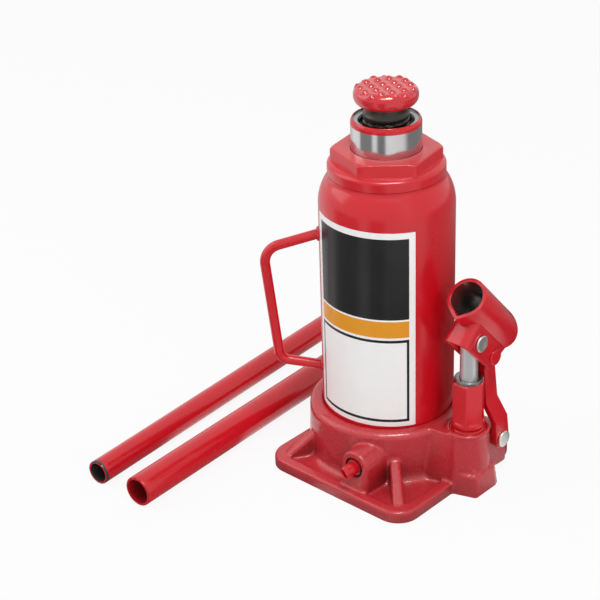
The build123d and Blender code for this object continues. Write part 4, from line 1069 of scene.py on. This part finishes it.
class JACK_OT_casting(bpy.types.Operator):
    """Give the base casting the soft edges of a sand casting"""

    bl_idname = "jack.casting"
    bl_label = "Base casting"

    pump_x, boss_top = 69.0, 42.0
    valve_x, valve_z, valve_face = 22.9, 23.4, -63.4

    def execute(self, context):
        extras = [
            grid_object("pump_foot_block", self.pump_foot()),
            grid_object("valve_boss_wide", self.valve_boss()),
        ]
        cell = context.scene.jack_sizes.cast_cell
        base = cast_copy("base_casting", "base_cast", cell, self.slimmer, extras)
        groove = [(5.5, -3.4), (7.1, -3.4), (7.4, 2.0), (5.5, 2.0)]
        ring = placed(spun(groove, 64), (self.valve_x, self.valve_face, self.valve_z), UP, (0, -1, 0))
        cut_away(base, grid_object("valve_mouth", ring, closed_rows=True), "MANIFOLD", CAST_CREASE)
        dress(base, "base_casting")
        return {"FINISHED"}

    def slimmer(self, place):
        """Draw the pump boss's outer side in, from its cone to a slimmer one, and set the valve boss back."""
        arm = place[:, :2] - [self.pump_x, 0.0]
        reach = np.linalg.norm(arm, axis=1)
        down = (self.boss_top - place[:, 2]) / self.boss_top
        cone, slim = 15.0 + 3.8 * down, 14.0 + 2.4 * down
        on_cone = (np.abs(reach - cone) < 0.08) & (down > 0.0)
        share = np.clip((arm[:, 0] - 1.0) / 5.0, 0.0, 1.0) * on_cone
        place[:, :2] += arm * (share * (slim / np.maximum(reach, 1e-6) - 1.0))[:, None]
        near_valve = np.hypot(place[:, 0] - self.valve_x, place[:, 2] - 17.0) < 20.0
        boss = near_valve & (place[:, 1] < -62.0) & (place[:, 2] > 9.0)
        place[boss, 1] += VALVE_SETBACK
        return place

    def pump_foot(self):
        """Block under the pump boss, with cut corners and sides that lean in."""
        back, half, top = 54.0, 18.0, 14.8
        near = [(back, -half), (70.8, -half), (86.0, -12.8), (86.4, -11.5)]
        far = [(86.4, 8.5), (84.0, 12.4), (70.8, half), (back, half)]
        outline = np.array([*near, *far])
        levels = ((0.0, BELOW_GROUND), (1.045, BELOW_GROUND), (0.93, top), (0.0, top))
        return tapered(outline, np.array([self.pump_x, 0.0]), levels)

    def valve_boss(self):
        """Arch round the release valve, from inside the collar to its eased face."""
        wide, foot, spring, back = 11.2, 1.0, 23.2, -44.0
        arch = arc((self.valve_x, spring), wide, 0, np.pi, 24)
        outline = np.concatenate([[(self.valve_x + wide, foot)], arch, [(self.valve_x - wide, foot)]])
        front = self.valve_face
        levels = ((0.0, back), (1.05, back), (1.0, front + 1.1), (0.94, front), (0.0, front))
        return tapered(outline, np.array([self.valve_x, 14.0]), levels)[..., [0, 2, 1]]


class JACK_OT_linkage(bpy.types.Operator):
    """Ease the edges of the handle socket, the links and the release valve's stem"""

    bl_idname = "jack.linkage"
    bl_label = "Pump linkage"

    def execute(self, context):
        ease, look = context.scene.jack_sizes.fitting_ease, context.scene.jack_finish
        bore = next(mount for mount in frame["record"]["mounts"] if mount["name"] == "handle_socket_bore")
        inner = (bore["dims"]["r_mm"] + 0.4) * MM
        socket = eased_copy("handle_socket", "handle_socket_eased", ease)
        dress(socket, "handle_socket", socket_paint(look, bore["pos_m"], bore["axis"], inner))

        def shorter(place):
            """Draw the stem's tip back as far as the valve boss is set back."""
            place[:, 1] += np.where(place[:, 1] < -70.0, VALVE_SETBACK, 0.0)
            return place

        for node, share, reshape in (
            ("pump_link_outer", 1.2, None),
            ("pump_link_inner", 1.2, None),
            ("release_valve_stem", 0.6, shorter),
        ):
            dress(eased_copy(node, f"{node}_eased", ease * share, reshape), node)
        return {"FINISHED"}


class JACK_OT_carry_handle(bpy.types.Operator):
    """Bend the carry handle and run its weld beads"""

    bl_idname = "jack.carry_handle"
    bl_label = "Carry handle"

    def execute(self, context):
        bead = context.scene.jack_sizes.weld_bead / MM
        bearing, rod, sunk = 223.0, 3.4, 1.5
        out, side = outwards(bearing), outwards(bearing + 90.0)
        corners = [(TANK_RADIUS - sunk, 167.3), (82.2, 156.6), (73.7, 73.4), (TANK_RADIUS - sunk, 67.3)]
        flat = bent_path(corners, (13.0, 8.0), 0.8)
        path = flat[:, :1] * out + flat[:, 1:] * UP
        handle = grid_object("carry_rod", plane_sweep(path, side, rod))
        dress(handle, "carry_handle")
        a, b = ring_angles(120)[:, None], ring_angles(20)[None, :]
        for name, z, phase in (("carry_weld_top", 166.9, 0.4), ("carry_weld_low", 67.6, 1.9)):
            # Bead: a ring of uneven thickness round the rod, bent to the tank's wall
            thick = bead * (1 + 0.14 * np.sin(9 * a + phase) + 0.09 * np.sin(16 * a + 2 * phase))
            reach = rod + 0.25 + 0.75 * thick * np.cos(b)
            across, rise = reach * np.cos(a), reach * np.sin(a)
            lift = np.sqrt(TANK_RADIUS**2 - across**2) + 0.85 * thick * np.sin(b) - 0.1
            points = lift[..., None] * out + across[..., None] * side + (z + rise)[..., None] * UP
            add_to_base(grid_object(name, points, closed_rows=True))
        return {"FINISHED"}


class JACK_OT_handle_tubes(bpy.types.Operator):
    """Draw the two pump handle tubes, the slim one with a slot across its far end"""

    bl_idname = "jack.handle_tubes"
    bl_label = "Handle tubes"

    def execute(self, context):
        look = context.scene.jack_finish
        run, near_y, slot_depth, slot_reach, slot_half = 320.0, -163.6, 9.0, 18.0, 3.195
        # Radius, wall, place across, turn, bare length at the near end and share of spray blown in
        for node, radius, wall, x, turn, bare, blown in (
            ("handle_tube_thick", 10.65, 1.7, -81.7, 3.2, 0.0, 0.9),
            ("handle_tube_slim", 8.6, 1.6, -121.9, 4.3, 2.2, 0.0),
        ):
            along, near, inner = outwards(90.0 + turn), (x, near_y, radius), radius - wall
            outside = np.linspace((radius, 0.6), (radius, run - 0.6), 60)
            rim = [(radius - 0.2, run - 0.15), (radius - 0.7, run), (inner, run)]
            inside = np.linspace((inner, run - 0.5), (inner, 0.5), 30)
            lip = [(inner, 0.0), (radius - 0.7, 0.0), (radius - 0.2, 0.15)]
            outline = np.concatenate([outside, rim, inside, lip])
            # Marks: place along the tube outside, and past its end for the inside
            past = run + 40.0
            rim_marks, lip_marks = [run, run, run + 30.0], [past, 0.0, 0.1]
            marks = np.concatenate([outside[:, 1], rim_marks, past + inside[:, 1], lip_marks])
            points = placed(spun(outline, 128), near, UP, along)
            tube = grid_object(f"{node}_drawn", points, closed_rows=True, marks=marks)
            if node == "handle_tube_slim":
                # Cutter: a long flat diamond across the tube, from inside its end to past it
                start, end = run - slot_depth, run + 5.0
                diamond = spun([(0.0, start), (1.0, start), (1.0, end), (0.0, end)], 4)
                diamond = diamond * [slot_reach, slot_half, 1.0]
                cutter = placed(diamond, near, np.cross(UP, along), along)
                cut_away(tube, grid_object("slim_tube_slot", cutter))
            paint = tube_paint(f"{node}_paint", look, bare * MM, (run + 20.0) * MM, past * MM, blown)
            dress(tube, node, paint)
        return {"FINISHED"}


class JACK_OT_filler_plug(bpy.types.Operator):
    """Mould the rubber filler plug"""

    bl_idname = "jack.filler_plug"
    bl_label = "Filler plug"

    def execute(self, context):
        stem, stem_low, cap, cap_low, cap_high, hollow, hollow_low = 4.95, -5.7, 8.0, 0.35, 3.35, 2.2, 2.5
        shank = [(0.0, stem_low, 0.0), (stem - 0.55, stem_low, 0.8), (stem, stem_low + 2.0, 0.4)]
        brim = [(stem, cap_low, 0.0), (cap, cap_low, 0.5), (cap, cap_low + 1.65, 0.8)]
        crown = [(cap - 2.0, cap_high, 1.4), (hollow, cap_high, 0.4)]
        dimple = [(hollow - 0.4, hollow_low, 0.4), (0.0, hollow_low, 0.0)]
        out = outwards(FILLER_BEARING)
        outline = rounded([*shank, *brim, *crown, *dimple])
        points = placed(spun(outline, 72), out * TANK_RADIUS + FILLER_HEIGHT * UP, UP, out)
        plug = grid_object("filler_plug_moulded", points)
        dress(plug, "filler_plug")
        return {"FINISHED"}


class JACK_OT_inner_parts(bpy.types.Operator):
    """Finish the solids that stay as they are: seals, washers, valves, clips and springs"""

    bl_idname = "jack.inner_parts"
    bl_label = "Inner parts"

    def execute(self, context):
        for part in frame["record"]["subparts"]:
            solid = frame["nodes"][part["node"]]
            painted_over = part["node"] in ("tank_top_seal", "tank_bottom_gasket")
            finish = finish_named(SLOT_FINISH["red_enamel" if painted_over else part["material_slot"]])
            if not solid.material_slots:
                solid.data.materials.append(finish)
            for place in solid.material_slots:
                place.material = finish
        return {"FINISHED"}


class JACK_OT_stage(bpy.types.Operator):
    """Set the floor, light and camera of a plain white studio"""

    bl_idname = "jack.stage"
    bl_label = "Stage"

    def execute(self, context):
        scene, stage = context.scene, context.scene.jack_stage
        scene.view_settings.view_transform = "Standard"
        self.floor()
        self.sky(scene, stage.sky)
        self.camera(scene, stage)
        self.card(math.atan2(stage.camera_place[1], stage.camera_place[0]))
        self.lamp("key", stage.key_power, (-1.20, -0.75, 1.15), 1.2, 1.5)
        self.lamp("front", stage.front_power, (0.48, -0.28, 1.75), 0.42, 0.42)
        fill = self.lamp("fill", stage.fill_power, (1.55, -0.45, 0.75), 0.5, 1.2)
        fill.visible_glossy = False
        glint = self.lamp("glint", stage.glint_power, (0.50, -0.42, 1.55), 0.9, 0.5)
        glint.visible_diffuse = False
        return {"FINISHED"}

    def floor(self):
        """Flat pale floor that mostly shows as white paper and keeps a light shadow."""
        half, drop, paper = 3000.0, 0.05, 0.9
        x, y = np.meshgrid(np.linspace(-half, half, 5), np.linspace(-half, half, 5), indexing="ij")
        floor = grid_object("floor", np.stack([x, y, 0 * x - drop], axis=-1), closed_columns=False)
        if floor.data.polygons[0].normal.z < 0:
            floor.data.flip_normals()
        material = bpy.data.materials.new("paper_floor")
        tree = Tree(material)
        shader = tree.nodes["Principled BSDF"]
        tree.feed(shader.inputs["Base Color"], (0.88, 0.88, 0.88, 1.0))
        tree.feed(shader.inputs["Roughness"], 0.9)
        glow = tree.node("Emission", "Emission", {"Color": WHITE})
        tree.show(tree.times(tree.seen(), paper), shader.outputs["BSDF"], glow, "Material Output")
        floor.data.materials.append(material)

    def card(self, front):
        """White card on the floor with six dark fields, seen by mirrors only, as a product studio has them.

        Each field darkens the card between two bearings from the front, right as plus, with soft sides:
        level = product of 1 - strength * smoothstep of the bearing's distance to the field's edge.
        """
        # Middle bearing, half width and softness in degrees, then the strength close to the jack, near it
        # and far from it
        fields = np.array(
            [
                (-68, 23, 9, 0.8, 0.8, 0.73),
                (-16, 13, 9, 0.6, 0.9, 0.76),
                (27, 26, 9, 0.55, 0.85, 0.0),
                (130, 66, 24, 0.0, 0.93, 0.72),
                (128, 48, 16, 0.95, 0.0, 0.0),
                (-150, 16, 20, 0.5, 0.5, 0.3),
            ]
        )
        inner, close, near, near_end, far, outer, height = 60.0, 200.0, 240.0, 300.0, 420.0, 2500.0, 0.03
        reach = np.array([inner, close, near, near_end, far, outer])[:, None]
        card = grid_object("mirror_card", ringed(ring_angles(360), reach, height + 0 * reach))
        place = points_of(card.data)
        bearing = np.degrees(np.arctan2(place[:, 1], place[:, 0]) - front)
        away = np.hypot(place[:, 0], place[:, 1])
        middle, half, soft, close_dark, near_dark, far_dark = (column[:, None] for column in fields.T)
        aside = np.abs((bearing - middle + 180.0) % 360.0 - 180.0)
        dark = close_dark + (near_dark - close_dark) * np.clip((away - close) / (near - close), 0.0, 1.0)
        dark = dark + (far_dark - dark) * np.clip((away - near_end) / (far - near_end), 0.0, 1.0)
        level = np.prod(1.0 - dark * smoothstep((half + soft / 2 - aside) / soft), axis=0)
        layer = card.data.attributes.new("card_level", "FLOAT", "POINT")
        layer.data.foreach_set("value", level.astype(np.float32))
        material = bpy.data.materials.new("mirror_card")
        tree = Tree(material)
        tree.nodes.remove(tree.nodes["Principled BSDF"])
        strength = tree.node("Attribute", "Fac", {}, attribute_name="card_level")
        glow = tree.node("Emission", "Emission", {"Strength": strength})
        tree.feed(tree.nodes["Material Output"].inputs["Surface"], glow)
        card.data.materials.append(material)
        card.visible_camera = False
        card.visible_diffuse = False
        card.visible_transmission = False
        card.visible_shadow = False

    def sky(self, scene, level):
        """White background for what is seen, and a weaker even light for what is lit."""
        scene.world = bpy.data.worlds.new("white_studio")
        tree = Tree(scene.world)
        seen = tree.nodes["Background"]
        tree.feed(seen.inputs["Color"], WHITE)
        tree.feed(seen.inputs["Strength"], 1.0)
        lit = tree.node("Background", "Background", {"Color": WHITE, "Strength": level})
        tree.show(tree.seen(), lit, seen.outputs["Background"], "World Output")

    def camera(self, scene, stage):
        """Camera at the photograph's place, in front of the jack, to its right and looking down at it."""
        right = Vector((0.73624, 0.67597, -0.0317))
        up = Vector((-0.29434, 0.36205, 0.88447))
        back = Vector((0.60935, -0.64185, 0.46552))
        data = bpy.data.cameras.new("camera")
        data.sensor_width = 36.0
        data.lens = stage.lens
        data.clip_end = 20.0
        camera = bpy.data.objects.new("camera", data)
        basis = Matrix((right, up, back)).transposed().to_4x4()
        camera.matrix_world = Matrix.Translation(Vector(stage.camera_place)) @ basis
        scene.collection.objects.link(camera)
        scene.camera = camera

    def lamp(self, name, power, place, width, height):
        """Soft rectangular lamp that faces the jack's middle."""
        data = bpy.data.lights.new(name, "AREA")
        data.shape = "RECTANGLE"
        data.size, data.size_y = width, height
        data.energy = power
        lamp = bpy.data.objects.new(name, data)
        middle = Vector((0.0, 0.0, 0.13))
        facing = (middle - Vector(place)).to_track_quat("-Z", "Y").to_matrix().to_4x4()
        lamp.matrix_world = Matrix.Translation(Vector(place)) @ facing
        bpy.context.scene.collection.objects.link(lamp)
        return lamp


PIECES = (
    JACK_OT_inner_parts,
    JACK_OT_tank,
    JACK_OT_label,
    JACK_OT_cap_nut,
    JACK_OT_ram,
    JACK_OT_extension_screw,
    JACK_OT_saddle,
    JACK_OT_pump,
    JACK_OT_pins,
    JACK_OT_casting,
    JACK_OT_linkage,
    JACK_OT_carry_handle,
    JACK_OT_handle_tubes,
    JACK_OT_filler_plug,
    JACK_OT_stage,
)


class JACK_PT_looks(bpy.types.Panel):
    """Sizes, colours and steps of the jack's looks"""

    bl_label = "Bottle Jack"
    bl_idname = "JACK_PT_looks"
    bl_space_type = "VIEW_3D"
    bl_region_type = "UI"
    bl_category = "Bottle Jack"

    def draw(self, context):
        layout = self.layout
        for group in (context.scene.jack_sizes, context.scene.jack_finish, context.scene.jack_stage):
            column = layout.box().column()
            for name in group.__annotations__:
                column.prop(group, name)
        for step in PIECES:
            layout.operator(step.bl_idname)


GROUPS = (JackFinish, JackSizes, JackStage)


def register():
    for item in (*GROUPS, *PIECES, JACK_PT_looks):
        bpy.utils.register_class(item)
    bpy.types.Scene.jack_finish = PointerProperty(type=JackFinish)
    bpy.types.Scene.jack_sizes = PointerProperty(type=JackSizes)
    bpy.types.Scene.jack_stage = PointerProperty(type=JackStage)


def unregister():
    for name in ("jack_finish", "jack_sizes", "jack_stage"):
        delattr(bpy.types.Scene, name)
    for item in reversed((*GROUPS, *PIECES, JACK_PT_looks)):
        bpy.utils.unregister_class(item)


def main():
    register()
    for step in PIECES:
        group, name = step.bl_idname.split(".")
        getattr(getattr(bpy.ops, group), name)()


if __name__ == "__main__":
    main()
